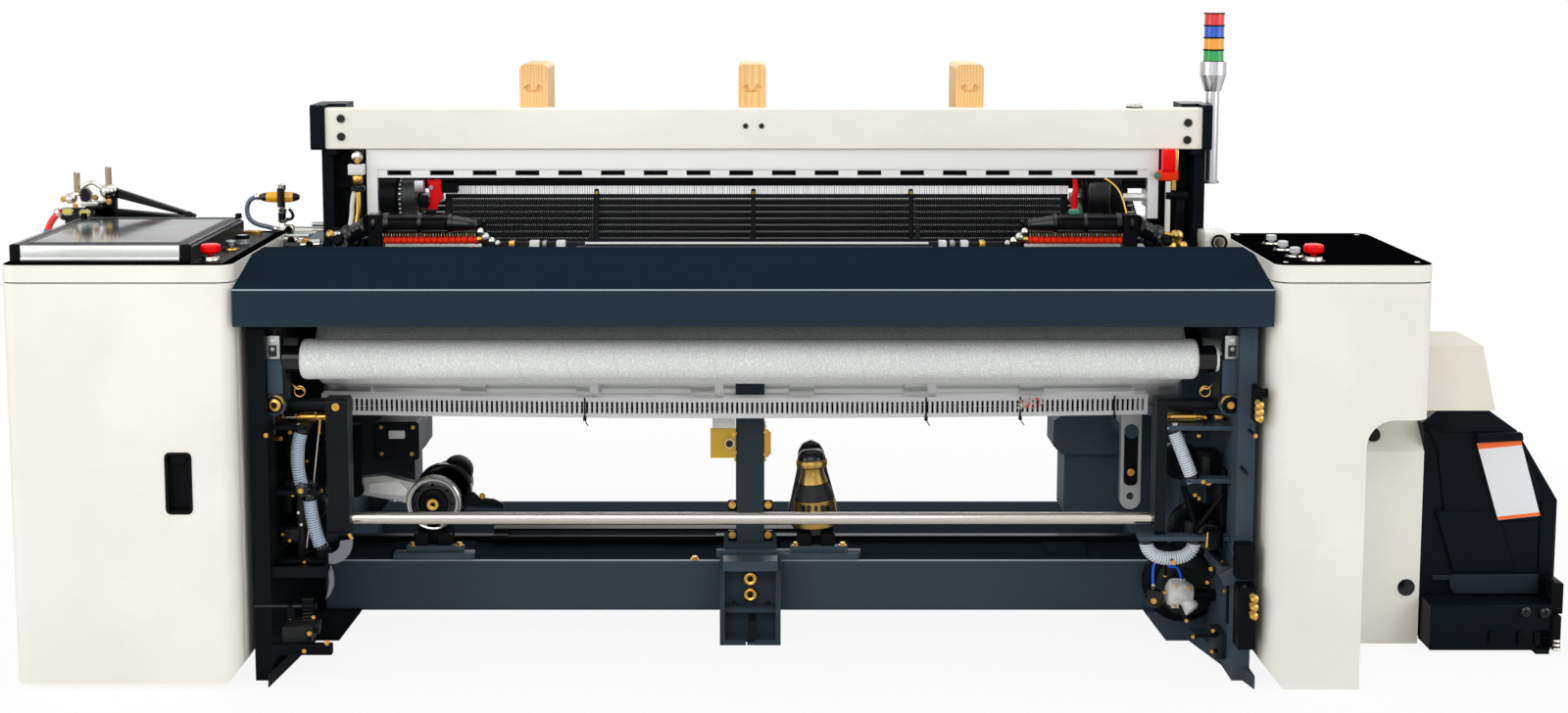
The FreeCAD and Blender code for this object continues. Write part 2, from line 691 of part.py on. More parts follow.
def drive_cover():
    """The faceted cover of the main motor, open below and towards the loom."""
    outer = prism_y(drive_outline(0), DRIVE_FRONT, DRIVE_REAR)
    slope = [(DRIVE_FRONT - 1, DRIVE_TOP - DRIVE_CHAMFER), (DRIVE_FRONT - 1, DRIVE_TOP + 1)]
    slope += [(DRIVE_FRONT + DRIVE_CHAMFER, DRIVE_TOP + 1)]
    outer = outer.cut(prism_x(slope, DRIVE_LEFT, DRIVE_RIGHT))
    inset = DRIVE_SHEET
    inner = prism_y(drive_outline(inset), DRIVE_FRONT + inset, DRIVE_REAR - inset)
    inner = inner.cut(prism_x([(y + inset, z - inset) for y, z in slope], DRIVE_LEFT, DRIVE_RIGHT))
    way = block(DRIVE_LEFT - 1, DRIVE_LEFT + 2 * inset, DRIVE_FRONT + DRIVE_CHAMFER, DRIVE_REAR - DRIVE_CHAMFER,
                DRIVE_BOTTOM - 1, DRIVE_TOP - 2 * DRIVE_CHAMFER)
    floor = block(DRIVE_LEFT + inset, DRIVE_RIGHT - inset, DRIVE_FRONT + inset, DRIVE_REAR - inset,
                  DRIVE_BOTTOM - 1, DRIVE_BOTTOM + 1)
    return outer.cut(inner).cut(way).cut(floor)


def drive_stand():
    """The beam that the motor and its cover stand on, with its feet."""
    top = DRIVE_BOTTOM
    beam = block(DRIVE_LEFT, DRIVE_RIGHT - 10, DRIVE_FRONT + 10, DRIVE_REAR - 10, top - STAND_THICKNESS, top)
    feet = []
    for x in (DRIVE_LEFT + 20, DRIVE_RIGHT - 75):
        for y in (DRIVE_FRONT + 15, DRIVE_REAR - 75):
            feet.append(block(x, x + 55, y, y + 60, 0, top - STAND_THICKNESS))
    toe = block(DRIVE_RIGHT - 68, DRIVE_RIGHT - 36, STAND_FOOT_FRONT, DRIVE_FRONT + 15, 0, 60)
    return fuse(beam, toe, *feet)


def drive_motor():
    """The main motor, with its shaft's bore and the saddle it stands on."""
    body = rod_x(MOTOR_LEFT, MOTOR_LEFT + MOTOR_LENGTH, SHAFT_Y, SHAFT_Z, MOTOR_RADIUS)
    saddle = block(MOTOR_LEFT + 20, MOTOR_LEFT + MOTOR_LENGTH - 20, SHAFT_Y - MOTOR_RADIUS,
                   SHAFT_Y + MOTOR_RADIUS, DRIVE_BOTTOM, SHAFT_Z - MOTOR_RADIUS / 2)
    bore = rod_x(MOTOR_LEFT, MOTOR_LEFT + MOTOR_LENGTH / 2, SHAFT_Y, SHAFT_Z, SHAFT_RADIUS + RUNNING_FIT)
    return fuse(body, saddle).cut(bore)


def main_shaft():
    end = MOTOR_LEFT + MOTOR_LENGTH / 2 - 5
    shaft = rod_x(RIB_INSIDE + 10, end, SHAFT_Y, SHAFT_Z, SHAFT_RADIUS)
    brake = rod_x(FRAME_OUTSIDE + 20, FRAME_OUTSIDE + 60, SHAFT_Y, SHAFT_Z, BRAKE_RADIUS)
    return fuse(shaft, brake)


# ---- frame ----

def side_frame(side):
    """A cast side frame: a plate, a rib round its edge, its foot, a gear box and small shelves."""
    outline = [(FRAME_FRONT, 0), (FRAME_FRONT, 820), (140, 905), (RIB_FRONT, FRAME_TOP)]
    heel = FRAME_REAR - FRAME_HEEL_SETBACK
    outline += [(FRAME_REAR - FRAME_SLOPE_SETBACK, FRAME_TOP), (FRAME_REAR, 900), (FRAME_REAR, 640)]
    outline += [(heel, 400), (heel, 0)]
    plate = prism_x(outline, FRAME_INSIDE, FRAME_OUTSIDE)
    band = [(RIB_FRONT, 0), (RIB_FRONT, FRAME_TOP)] + outline[4:]
    low, high = RIB_WIDTH, FRAME_TOP - RIB_WIDTH
    inside = [(STAY_REAR + 20, low), (STAY_REAR + 20, high), (REAR_STAY_FRONT, high), (heel, 815), (heel, 660)]
    inside += [(heel - RIB_WIDTH, 430), (heel - RIB_WIDTH, low)]
    rib = prism_x(band, RIB_INSIDE, FRAME_INSIDE).cut(prism_x(inside, RIB_INSIDE, FRAME_INSIDE))
    frame = fuse(plate, rib)
    for y in (WINDOW_FRONT, FRAME_REAR - WINDOW_SETBACK):
        window = block(FRAME_INSIDE, FRAME_OUTSIDE, y, y + WINDOW_WIDTH * 0.7, 420, 420 + WINDOW_HEIGHT)
        frame = frame.cut(round_edges(window, 40, (1, 0, 0)))
    foot = prism_y([(FRAME_OUTSIDE, 0), (FOOT_INSIDE, 0), (FOOT_INSIDE - 54, FOOT_HEIGHT),
                    (FRAME_OUTSIDE, FOOT_HEIGHT)], FOOT_FRONT, STAY_FRONT)
    inner_foot = block(FOOT_INSIDE, RIB_INSIDE, STAY_FRONT, STAY_REAR, 0, STAY_BOTTOM)
    box_inside = -LEFT_BOX_INSIDE if side < 0 else RIGHT_BOX_INSIDE
    box = block(box_inside, RIB_INSIDE, BOX_FRONT, BOX_FRONT + BOX_DEPTH, BOX_Z, BOX_Z + BOX_HEIGHT)
    box = box.makeChamfer(18, [edge for edge in box.Edges if edge.BoundBox.XMax < box_inside + 1])
    skirt_bottom = LEFT_SKIRT_BOTTOM if side < 0 else RIGHT_SKIRT_BOTTOM
    skirt = block(box_inside + BOX_MARGIN, RIB_INSIDE, BOX_FRONT + BOX_MARGIN, BOX_FRONT + BOX_DEPTH,
                  skirt_bottom, BOX_Z)
    tray_inside = LEFT_TRAY_INSIDE if side < 0 else RIGHT_TRAY_INSIDE
    tray = block(tray_inside, FRAME_INSIDE, 70, 280, TRAY_Z, TRAY_Z + TRAY_THICKNESS)
    tray = tray.cut(block(tray_inside + 8, FRAME_INSIDE, 78, 272, TRAY_Z + 10, TRAY_Z + TRAY_THICKNESS))
    frame = fuse(frame, foot, inner_foot, box, skirt, tray)
    holes = [rod_x(FRAME_INSIDE, FRAME_OUTSIDE, TAKE_UP_Y, ROLLER_Z, TAKE_UP_JOURNAL + RUNNING_FIT)]
    holes.append(rod_x(RIB_INSIDE, FRAME_OUTSIDE, ROCK_Y, ROCK_Z, ROCK_RADIUS + RUNNING_FIT))
    holes.append(rod_x(RIB_INSIDE, FRAME_OUTSIDE, BACK_REST_Y, BACK_REST_Z, BACK_REST_JOURNAL + RUNNING_FIT))
    if side > 0:
        holes.append(rod_x(RIB_INSIDE, FRAME_OUTSIDE, SHAFT_Y, SHAFT_Z, SHAFT_RADIUS + RUNNING_FIT))
    for hole in holes:
        frame = frame.cut(hole)
    return frame


def lug(inner_x, z, y=HOSE_Y):
    """A small shelf on the right side frame's plate that a hose ends at."""
    return block(inner_x, FRAME_INSIDE, y - LUG_DEPTH / 2, y + LUG_DEPTH / 2, z, z + LUG_THICKNESS)




def left_side_frame():
    top_lug = lug(LEFT_TOP_LUG_INSIDE, LEFT_HOSE_TOP)
    middle_lug = lug(LUG_INSIDE, LEFT_HOSE_MIDDLE - LUG_THICKNESS)
    frame = fuse(side_frame(-1), top_lug, middle_lug)
    corners = [(FRAME_INSIDE, 10), (FRAME_INSIDE, FOOT_FRONT), (FOOT_SHELF_INSIDE, FOOT_FRONT)]
    shelf = mirrored(prism_z(corners, 0, FOOT_SHELF_HEIGHT))
    return fuse(mirrored(frame), shelf)


def right_side_frame():
    corners = [(FRAME_OUTSIDE, 5), (FRAME_OUTSIDE - 3, 5), (FOOT_SHELF_INSIDE, FOOT_FRONT), (FRAME_OUTSIDE, FOOT_FRONT)]
    shelf = prism_z(corners, 0, FOOT_SHELF_HEIGHT)
    manifold = lug(MANIFOLD_INSIDE, U_HOSE_TOP).cut(arm_block(ARM_RIGHT, ARM_RIGHT_WIDTH, SIDE_GAP))
    top_lug = lug(ARM_RIGHT + ARM_RIGHT_WIDTH + 2, RIGHT_HOSE_TOP)
    bottom_lug = lug(LUG_INSIDE, RIGHT_HOSE_BOTTOM - LUG_THICKNESS)
    return fuse(side_frame(1), shelf, top_lug, bottom_lug, manifold)


def front_stay():
    """The heavy lower beam, with the pads that carry the jack levers."""
    beam = block(-RIB_INSIDE, RIB_INSIDE, STAY_FRONT, STAY_REAR, STAY_BOTTOM, STAY_TOP)
    beam = round_edges(beam, 10, (1, 0, 0))
    pads = [block(-880, -687, 415, 495, STAY_TOP, STAY_TOP + PAD_HEIGHT)]
    pads.append(block(70, 240, 415, 495, STAY_TOP, STAY_TOP + PAD_HEIGHT))
    pads.append(block(721, 818, 420, 490, STAY_TOP, STAY_TOP + PAD_HEIGHT))
    top = STAY_TOP + PAD_HEIGHT
    for x, z in ((LEFT_LEVER_X, LEFT_LEVER_Z), (CENTRE_LEVER_X, CENTRE_LEVER_Z)):
        cheek = LEVER_Y + LEVER_THICKNESS + 2
        pads.append(block(x - 45, x + 45, cheek, cheek + 16, top, z))
        pads.append(rod_y(x, cheek, cheek + 16, z, 45))
        pads.append(rod_y(x, LEVER_Y - 6, cheek + 1, z, LEVER_AXLE_RADIUS))
    return fuse(beam, *pads)


def rear_stay():
    bottom = REAR_STAY_BOTTOM
    return block(-RIB_INSIDE, RIB_INSIDE, REAR_STAY_FRONT, REAR_STAY_FRONT + REAR_STAY_DEPTH,
                 bottom, bottom + REAR_STAY_HEIGHT)


def breast_beam():
    body = block(-FRAME_INSIDE, FRAME_INSIDE, BREAST_FRONT, BREAST_REAR, BREAST_BOTTOM, BREAST_TOP)
    ledge = block(-FRAME_INSIDE, FRAME_INSIDE, BREAST_REAR, LEDGE_REAR, LEDGE_TOP - LEDGE_THICKNESS, LEDGE_TOP)
    bars = [rod_x(-620, 600, y, LEDGE_TOP + 2, 4) for y in (352, 364)]
    return fuse(body, ledge, *bars)


def front_cover():
    t = SHEET
    outline = [(COVER_LIP, COVER_BOTTOM), (0, COVER_BOTTOM), (0, COVER_KNEE), (COVER_SLOPE_DEPTH, COVER_TOP)]
    outline += [(COVER_DEPTH, COVER_TOP), (COVER_DEPTH, COVER_TOP - t), (COVER_SLOPE_DEPTH, COVER_TOP - t)]
    outline += [(t, COVER_KNEE - t), (t, COVER_BOTTOM + t), (COVER_LIP, COVER_BOTTOM + t)]
    return prism_x(outline, LEFT_CABINET_RIGHT, RIGHT_CABINET_LEFT)


def centre_post():
    """The post on the lower beam that carries the middle bearing of the rocking shaft."""
    x0, x1 = POST_LEFT, POST_LEFT + POST_WIDTH
    y0, y1 = POST_FRONT, POST_FRONT + POST_DEPTH
    base = block(x0 - POST_BASE_MARGIN, x1 + POST_BASE_MARGIN, y0 - POST_BASE_FRONT_MARGIN, BAR_FRONT - SIDE_GAP,
                 STAY_TOP, STAY_TOP + POST_BASE_HEIGHT)
    post = block(x0, x1, y0, y1, STAY_TOP, ROCK_Z)
    head = block(x0, x1, ROCK_Y - POST_HEAD_HALF_DEPTH, ROCK_Y + POST_HEAD_HALF_DEPTH,
                 ROCK_Z - BEARING_HEIGHT / 2, ROCK_Z + BEARING_HEIGHT / 2)
    head = round_edges(head, POST_HEAD_ROUND, (1, 0, 0), z=ROCK_Z + BEARING_HEIGHT / 2)
    bore = rod_x(x0, x1, ROCK_Y, ROCK_Z, ROCK_RADIUS + RUNNING_FIT)
    return fuse(base, post, head).cut(bore)


def clamp_plates():
    """The two folded plates that clamp the sides of the centre post."""
    z0, z1 = CLAMP_BOTTOM, CLAMP_BOTTOM + CLAMP_HEIGHT
    front, back = POST_FRONT - CLAMP_SHEET, POST_FRONT + CLAMP_DEPTH
    right = POST_LEFT + POST_WIDTH
    plate = block(POST_LEFT - CLAMP_REACH, POST_LEFT, front, POST_FRONT, z0, z1)
    left_wing = block(POST_LEFT - CLAMP_SHEET, POST_LEFT, front, back, z0 - CLAMP_MARGIN, z1 - CLAMP_MARGIN)
    wing = block(right, right + CLAMP_SHEET, front, back, z0 - CLAMP_MARGIN, z1 + CLAMP_MARGIN)
    ear = block(right, right + CLAMP_EAR, front, POST_FRONT, z0 + CLAMP_MARGIN, z1 - CLAMP_MARGIN)
    return group(fuse(plate, left_wing), fuse(wing, ear))


def centre_foot():
    x0, x1 = CENTRE_FOOT_LEFT, CENTRE_FOOT_LEFT + CENTRE_FOOT_WIDTH
    y1, y0 = STAY_FRONT, STAY_FRONT - CENTRE_FOOT_DEPTH
    t = CENTRE_FOOT_PLATE
    back = block(x0, x1, y1 - t, y1, 0, CENTRE_FOOT_HEIGHT)
    floor = block(x0, x1, y0, y1, 0, t)
    ledge = block(x0, x1, y0 + 20, y1, CENTRE_FOOT_LEDGE, CENTRE_FOOT_LEDGE + t)
    cheek = [(y0, 0), (y0, 60), (y0 + 20, CENTRE_FOOT_HEIGHT - 30), (y1 - t, CENTRE_FOOT_HEIGHT), (y1, 0)]
    left = prism_x(cheek, x0, x0 + t)
    right = prism_x(cheek, x1 - t, x1)
    slot = block(x0 + 63, x0 + 84, y0, y0 + 25, 0, t)
    return fuse(back, floor, ledge, left, right).cut(slot)


# ---- rollers ----

def covered_roller(x0, x1, radius, y, z):
    """A roller's barrel with a rounded rim at both ends."""
    rim = [(0, 1), (0.13, 0.5), (0.5, 0.13), (1, 0)]
    profile = [(x0 + along * ROLLER_EDGE, radius - inward * ROLLER_EDGE) for along, inward in rim]
    profile += [(x1 - along * ROLLER_EDGE, radius - inward * ROLLER_EDGE) for along, inward in reversed(rim)]
    return turned_profile(profile, y, z)


def press_roller():
    barrel = covered_roller(PRESS_LEFT, PRESS_RIGHT, PRESS_RADIUS, PRESS_Y, ROLLER_Z)
    reach = FRAME_INSIDE - BRACKET_WIDTH
    collars = [rod_x(-reach + SIDE_GAP, PRESS_LEFT, PRESS_Y, ROLLER_Z, COLLAR_RADIUS)]
    collars.append(rod_x(PRESS_RIGHT, reach - SIDE_GAP, PRESS_Y, ROLLER_Z, COLLAR_RADIUS))
    journal = rod_x(-FRAME_INSIDE + 5, FRAME_INSIDE - 5, PRESS_Y, ROLLER_Z, JOURNAL_RADIUS)
    return fuse(barrel, journal, *collars)


def take_up_roller():
    barrel = covered_roller(TAKE_UP_LEFT, TAKE_UP_RIGHT, TAKE_UP_RADIUS, TAKE_UP_Y, ROLLER_Z)
    journal = rod_x(-FRAME_OUTSIDE + 5, FRAME_OUTSIDE - 5, TAKE_UP_Y, ROLLER_Z, TAKE_UP_JOURNAL)
    return fuse(barrel, journal)


def back_rest_roller():
    barrel = covered_roller(-BACK_REST_HALF, BACK_REST_HALF, BACK_REST_RADIUS, BACK_REST_Y, BACK_REST_Z)
    journal = rod_x(-FRAME_OUTSIDE + 5, FRAME_OUTSIDE - 5, BACK_REST_Y, BACK_REST_Z, BACK_REST_JOURNAL)
    return fuse(barrel, journal)


def cloth_shaft():
    left, right = ARM_LEFT + 5, ARM_RIGHT + ARM_RIGHT_WIDTH - 5
    return rod_x(left, right, CLOTH_SHAFT_Y, CLOTH_SHAFT_Z, CLOTH_SHAFT_RADIUS)


def arm_block(x0, width, grow=0.0):
    y = CLOTH_SHAFT_Y
    half = ARM_DEPTH / 2 + grow
    return block(x0 - grow, x0 + width + grow, y - half, y + half, ARM_BOTTOM - grow, ARM_TOP + grow)


def shaft_arm(x0, width, wall_x):
    """An arm that carries one end of the cloth shaft, on a pin from the side frame."""
    arm = round_edges(arm_block(x0, width), 12, (1, 0, 0))
    pin = rod_x(min(x0, wall_x), max(x0, wall_x), CLOTH_SHAFT_Y, ARM_PIN_Z, ARM_PIN_RADIUS)
    bore = rod_x(x0, x0 + width, CLOTH_SHAFT_Y, CLOTH_SHAFT_Z, CLOTH_SHAFT_RADIUS + RUNNING_FIT)
    return fuse(arm, pin).cut(bore)


def roller_bracket():
    """The right bearing bracket of the press roller, with its slotted upper plate."""
    x0, x1 = FRAME_INSIDE - BRACKET_WIDTH, FRAME_INSIDE
    y0, y1 = PRESS_Y - BRACKET_DEPTH / 2, PRESS_Y + BRACKET_DEPTH / 2
    body = block(x0, x1, y0, y1, BRACKET_BOTTOM, BRACKET_TOP)
    body = round_edges(body, 6, (0, 1, 0), x=x0)
    plate = block(x1 - BRACKET_PLATE_WIDTH, x1, y0 + 8, y0 + 20, BRACKET_TOP, COVER_BOTTOM - 2)
    slot = block(x1 - 21, x1 - 11, y0 + 8, y0 + 20, BRACKET_TOP + 18, COVER_BOTTOM - 22)
    bore = rod_x(x0, x1, PRESS_Y, ROLLER_Z, JOURNAL_RADIUS + RUNNING_FIT)
    return fuse(body, plate.cut(slot)).cut(bore)


def roller_brackets():
    left_arm = shaft_arm(ARM_LEFT, ARM_LEFT_WIDTH, -FRAME_INSIDE)
    right_arm = shaft_arm(ARM_RIGHT, ARM_RIGHT_WIDTH, FRAME_INSIDE)
    return group(roller_bracket(), mirrored(roller_bracket()), left_arm, right_arm)


def duct_wall(y, thickness, slotted):
    """One upright wall of the duct, which sags a little to its middle."""
    x0, x1 = DUCT_LEFT, DUCT_RIGHT
    middle = (x0 + x1) / 2
    half = (x1 - x0) / 2
    z0, z1 = DUCT_BOTTOM, DUCT_BOTTOM + DUCT_HEIGHT

    def sag(x):
        return DUCT_SAG * (1 - ((x - middle) / half) ** 2)
    corners = [point(x0, y, z0), point(x0, y, z1), point(x1, y, z1), point(x1, y, z0)]
    top = Part.Arc(corners[1], point(middle, y, z1 - DUCT_SAG), corners[2]).toShape()
    bottom = Part.Arc(corners[3], point(middle, y, z0 - DUCT_SAG), corners[0]).toShape()
    sides = [Part.makeLine(corners[0], corners[1]), Part.makeLine(corners[2], corners[3])]
    wires = [Part.Wire([sides[0], top, sides[1], bottom])]
    pitch = (x1 - x0) / (DUCT_SLOTS + 1)
    for number in range(DUCT_SLOTS if slotted else 0):
        x = x0 + pitch * (number + 1)
        left, right = x - DUCT_SLOT_WIDTH / 2, x + DUCT_SLOT_WIDTH / 2
        low = z0 - sag(x) + DUCT_SLOT_BOTTOM
        high = low + DUCT_SLOT_HEIGHT
        slot = [point(left, y, low), point(left, y, high), point(right, y, high), point(right, y, low)]
        wires.append(Part.makePolygon(slot + slot[:1]))
    face = Part.Face(wires, "Part::FaceMakerBullseye")
    return face.extrude(point(0, thickness, 0))


def cable_duct():
    """A plastic trunking with a slotted front, closed at the back and hung by three straps."""
    front = duct_wall(DUCT_FRONT, DUCT_WALL, True)
    body = duct_wall(DUCT_FRONT + DUCT_WALL, DUCT_DEPTH - DUCT_WALL, False)
    straps = []
    rear = DUCT_FRONT + DUCT_DEPTH
    for x in HANGER_PLACES:
        strap = block(x, x + HANGER_WIDTH, BREAST_REAR - SHEET, BREAST_REAR,
                      DUCT_BOTTOM + DUCT_HEIGHT / 2, BREAST_BOTTOM)
        straps.append(strap)
    return hollow_duct(body, rear).fuse([front] + straps).removeSplitter()


def hollow_duct(body, rear):
    room = block(DUCT_LEFT + DUCT_WALL, DUCT_RIGHT - DUCT_WALL, DUCT_FRONT + DUCT_WALL, rear - DUCT_WALL,
                 DUCT_BOTTOM + DUCT_WALL, DUCT_BOTTOM + DUCT_HEIGHT - DUCT_SAG - DUCT_WALL)
    return body.cut(room)


# ---- sley and reed ----

def leaned(shape):
    """Lean a piece of the sley back about the rocking shaft, to its rest place."""
    copy = shape.copy()
    copy.rotate(point(0, ROCK_Y, ROCK_Z), point(1, 0, 0), -SLEY_TILT)
    return copy


def sley():
    shaft = rod_x(-FRAME_OUTSIDE + 5, FRAME_OUTSIDE - 5, ROCK_Y, ROCK_Z, ROCK_RADIUS)
    beam = block(-SLEY_HALF, SLEY_HALF, ROCK_Y - SLEY_BEAM_DEPTH / 2, ROCK_Y + SLEY_BEAM_DEPTH / 2,
                 ROCK_Z + SLEY_RISE, ROCK_Z + SLEY_RISE + SLEY_BEAM_HEIGHT)
    swords = []
    for x in SWORD_PLACES:
        swords.append(block(x - SWORD_WIDTH / 2, x + SWORD_WIDTH / 2, ROCK_Y - SWORD_DEPTH / 2,
                            ROCK_Y + SWORD_DEPTH / 2, ROCK_Z, ROCK_Z + SLEY_RISE))
        swords.append(rod_x(x - 30, x + 30, ROCK_Y, ROCK_Z, ROCK_RADIUS + 16))
    return leaned(fuse(shaft, beam, *swords))


def reed():
    """The comb of dents between two baulks; each gap here stands for several real ones."""
    z0 = ROCK_Z + SLEY_RISE + SLEY_BEAM_HEIGHT
    y0, y1 = ROCK_Y - REED_DEPTH / 2, ROCK_Y + REED_DEPTH / 2
    pitch = (REED_RIGHT - REED_LEFT - 2 * REED_BAULK) / REED_DENTS
    gap = pitch * (1 - REED_DENT_SHARE)
    z1 = z0 + REED_HEIGHT
    corners = [point(REED_LEFT, y0, z0), point(REED_LEFT, y0, z1), point(REED_RIGHT, y0, z1), point(REED_RIGHT, y0, z0)]
    wires = [Part.makePolygon(corners + corners[:1])]
    for number in range(REED_DENTS):
        left = REED_LEFT + REED_BAULK + pitch * number + (pitch - gap) / 2
        low, high = z0 + REED_BAULK, z0 + REED_HEIGHT - REED_BAULK
        right = left + gap
        hole = [point(left, y0, low), point(left, y0, high), point(right, y0, high), point(right, y0, low)]
        wires.append(Part.makePolygon(hole + hole[:1]))
    comb = Part.Face(wires, "Part::FaceMakerBullseye").extrude(point(0, y1 - y0, 0))
    return leaned(comb)


# ---- top beam ----

def top_beam():
    outer = block(BEAM_LEFT, BEAM_RIGHT, BEAM_FRONT, BEAM_REAR, BEAM_BOTTOM, BEAM_TOP)
    outer = round_edges(outer, 4, (1, 0, 0))
    w = BEAM_WALL
    inner = block(BEAM_LEFT, BEAM_RIGHT, BEAM_FRONT + w, BEAM_REAR - w, BEAM_BOTTOM + w, BEAM_TOP - w)
    cap = rod_z(BEAM_CAP_X, BEAM_FRONT + BEAM_DEPTH / 2, BEAM_TOP, BEAM_TOP + BEAM_CAP_HEIGHT, BEAM_CAP_RADIUS)
    return fuse(outer.cut(inner), cap)


def beam_post(beam_end, out, width):
    """The bracket at one end of the top beam, and the post under it; out is -1 or 1."""
    far = beam_end + out * width

    def part(xa, xb, y0, y1, z0, z1):
        return block(min(xa, xb), max(xa, xb), y0, y1, z0, z1)
    cheek = part(beam_end, far, BEAM_FRONT - 5, END_BRACKET_REAR, BEAM_BOTTOM - 2, BEAM_TOP + 8)
    cheek = round_edges(cheek, 8, (1, 0, 0))
    back = part(beam_end - out * 42, beam_end, BEAM_REAR, END_BRACKET_REAR, BEAM_BOTTOM - 2, BEAM_TOP + 8)
    foot = part(beam_end - out * 24, beam_end, BEAM_FRONT + 8, END_BRACKET_REAR, BEAM_BOTTOM - 14, BEAM_BOTTOM)
    top = BEAM_BOTTOM - 2
    leg_out = beam_end + out * 18
    leg = part(leg_out, leg_out - out * POST_LEG_WIDTH, POST_LEG_FRONT, POST_LEG_FRONT + POST_LEG_DEPTH,
               FRAME_TOP, top)
    shoe = part(leg_out, leg_out - out * 56, POST_LEG_FRONT - 10, POST_LEG_FRONT + POST_LEG_DEPTH + 10,
                FRAME_TOP, FRAME_TOP + 16)
    return fuse(cheek, back, foot, leg, shoe)


def beam_posts():
    return group(beam_post(BEAM_LEFT, -1, LEFT_BRACKET_WIDTH), beam_post(BEAM_RIGHT, 1, RIGHT_BRACKET_WIDTH))


def harness_rail():
    """The pale rail under the top beam, its slotted lower strip and its two columns with pins."""
    y0, y1 = RAIL_FRONT, RAIL_FRONT + RAIL_DEPTH
    low = BEAM_BOTTOM - RAIL_HEIGHT
    rail = block(RAIL_LEFT, RAIL_RIGHT, y0, y1, low, BEAM_BOTTOM)
    strip = block(RAIL_LEFT, RAIL_RIGHT, y0 + 6, y1, low - SLOT_RAIL_HEIGHT, low)
    pitch = (RAIL_RIGHT - RAIL_LEFT) / SLOT_RAIL_SLOTS
    for number in range(SLOT_RAIL_SLOTS):
        left = RAIL_LEFT + pitch * (number + (1 - SLOT_RAIL_SLOT_SHARE) / 2)
        slot = block(left, left + pitch * SLOT_RAIL_SLOT_SHARE, y0, y1, low - SLOT_RAIL_HEIGHT + 5, low - 4)
        strip = strip.cut(slot)
    pieces = [strip]
    left_reach = LEFT_LENO_START + LEFT_LENO_LENGTH + 52
    for x0, reach in ((RAIL_LEFT - COLUMN_WIDTH, left_reach), (RAIL_RIGHT, RIGHT_LENO_START - 16)):
        x1 = x0 + COLUMN_WIDTH
        pieces.append(block(x0, x1, y0, y1, COLUMN_BOTTOM, BEAM_BOTTOM))
        pieces.append(block(x0, x1, y1, LENO_Y + 20, LENO_Z - 20, LENO_Z + 20))
        inner = min(x0, reach), max(x1, reach)
        pieces.append(rod_x(inner[0], inner[1], LENO_Y, LENO_Z, LENO_PIN_RADIUS))
    return fuse(rail, *pieces)


def wooden_guide(x):
    """A hardwood block that the heald frames slide beside, with a shallow carved notch in front."""
    x0, x1 = x - GUIDE_WIDTH / 2, x + GUIDE_WIDTH / 2
    y0, y1 = BEAM_REAR, BEAM_REAR + GUIDE_DEPTH
    body = block(x0, x1, y0, y1, GUIDE_BOTTOM, GUIDE_TOP)
    body = round_edges(body, GUIDE_ROUND, (0, 1, 0), z=GUIDE_TOP)
    z = GUIDE_NOTCH_Z
    outline = [(x - 24, z), (x - 12, z + 9), (x - 4, z - 7), (x + 4, z - 7), (x + 12, z + 9), (x + 24, z)]
    outline += [(x + 14, z - 12), (x - 14, z - 12)]
    return body.cut(prism_y(outline, y0, y0 + 6))


def wooden_guides():
    return group(*[wooden_guide(x) for x in GUIDE_PLACES])


def signal_pole():
    """The tower's pole with its conical neck, and the clamp that holds it to the beam's end."""
    x, y = TOWER_X, TOWER_Y
    pole = rod_z(x, y, TOWER_POLE_BOTTOM, TOWER_NECK_BOTTOM, TOWER_POLE_RADIUS)
    neck_low = TOWER_NECK_BOTTOM + (TOWER_NECK_TOP - TOWER_NECK_BOTTOM) * 0.55
    neck = rod_z(x, y, neck_low, TOWER_NECK_TOP, TOWER_NECK_RADIUS)
    cone = Part.makeCone(TOWER_POLE_RADIUS + 4, TOWER_NECK_RADIUS, neck_low - TOWER_NECK_BOTTOM,
                         point(x, y, TOWER_NECK_BOTTOM))
    end = BEAM_RIGHT + RIGHT_BRACKET_WIDTH
    clamp = block(end, x, y, y + TOWER_CLAMP_DEPTH, BEAM_BOTTOM + 20, BEAM_TOP - 30)
    return fuse(pole, neck, cone, clamp)


def signal_lamps():
    lamps = []
    for number in range(LAMP_COUNT):
        low = TOWER_NECK_TOP + number * LAMP_HEIGHT
        lens = rod_z(TOWER_X, TOWER_Y, low + LAMP_GROOVE, low + LAMP_HEIGHT, LAMP_RADIUS)
        collar = rod_z(TOWER_X, TOWER_Y, low, low + LAMP_GROOVE, LAMP_RADIUS - LAMP_GROOVE)
        lamps.append(fuse(lens, collar))
    cap = rod_z(TOWER_X, TOWER_Y, low + LAMP_HEIGHT, low + LAMP_HEIGHT + 2, LAMP_RADIUS - 4)
    lamps[-1] = fuse(lamps[-1], cap)
    return group(*lamps)


# ---- selvedge devices and temples ----

def leno_rotor(x0, length):
    """A rotor that twists the selvedge threads: a disc with spools on a ribbed barrel."""
    y, z, r = LENO_Y, LENO_Z, LENO_RADIUS
    barrel = [(x0, r), (x0 + 38, r), (x0 + 38, r - 14)]
    ribs = 6
    step = (length - 38) / ribs
    for number in range(ribs):
        start = x0 + 38 + number * step
        barrel += [(start + step * 0.4, r - 14), (start + step * 0.4, r - 6)]
        barrel += [(start + step, r - 6), (start + step, r - 14)]
    body = turned_profile(barrel, y, z)
    for number in range(6):
        angle = math.radians(60 * number)
        hole_y, hole_z = y + math.cos(angle) * 33, z + math.sin(angle) * 33
        body = body.cut(rod_x(x0, x0 + 14, hole_y, hole_z, 9))
    return body.cut(rod_x(x0, x0 + length, y, z, LENO_PIN_RADIUS + RUNNING_FIT))


def left_leno_rotor():
    return leno_rotor(LEFT_LENO_START, LEFT_LENO_LENGTH)


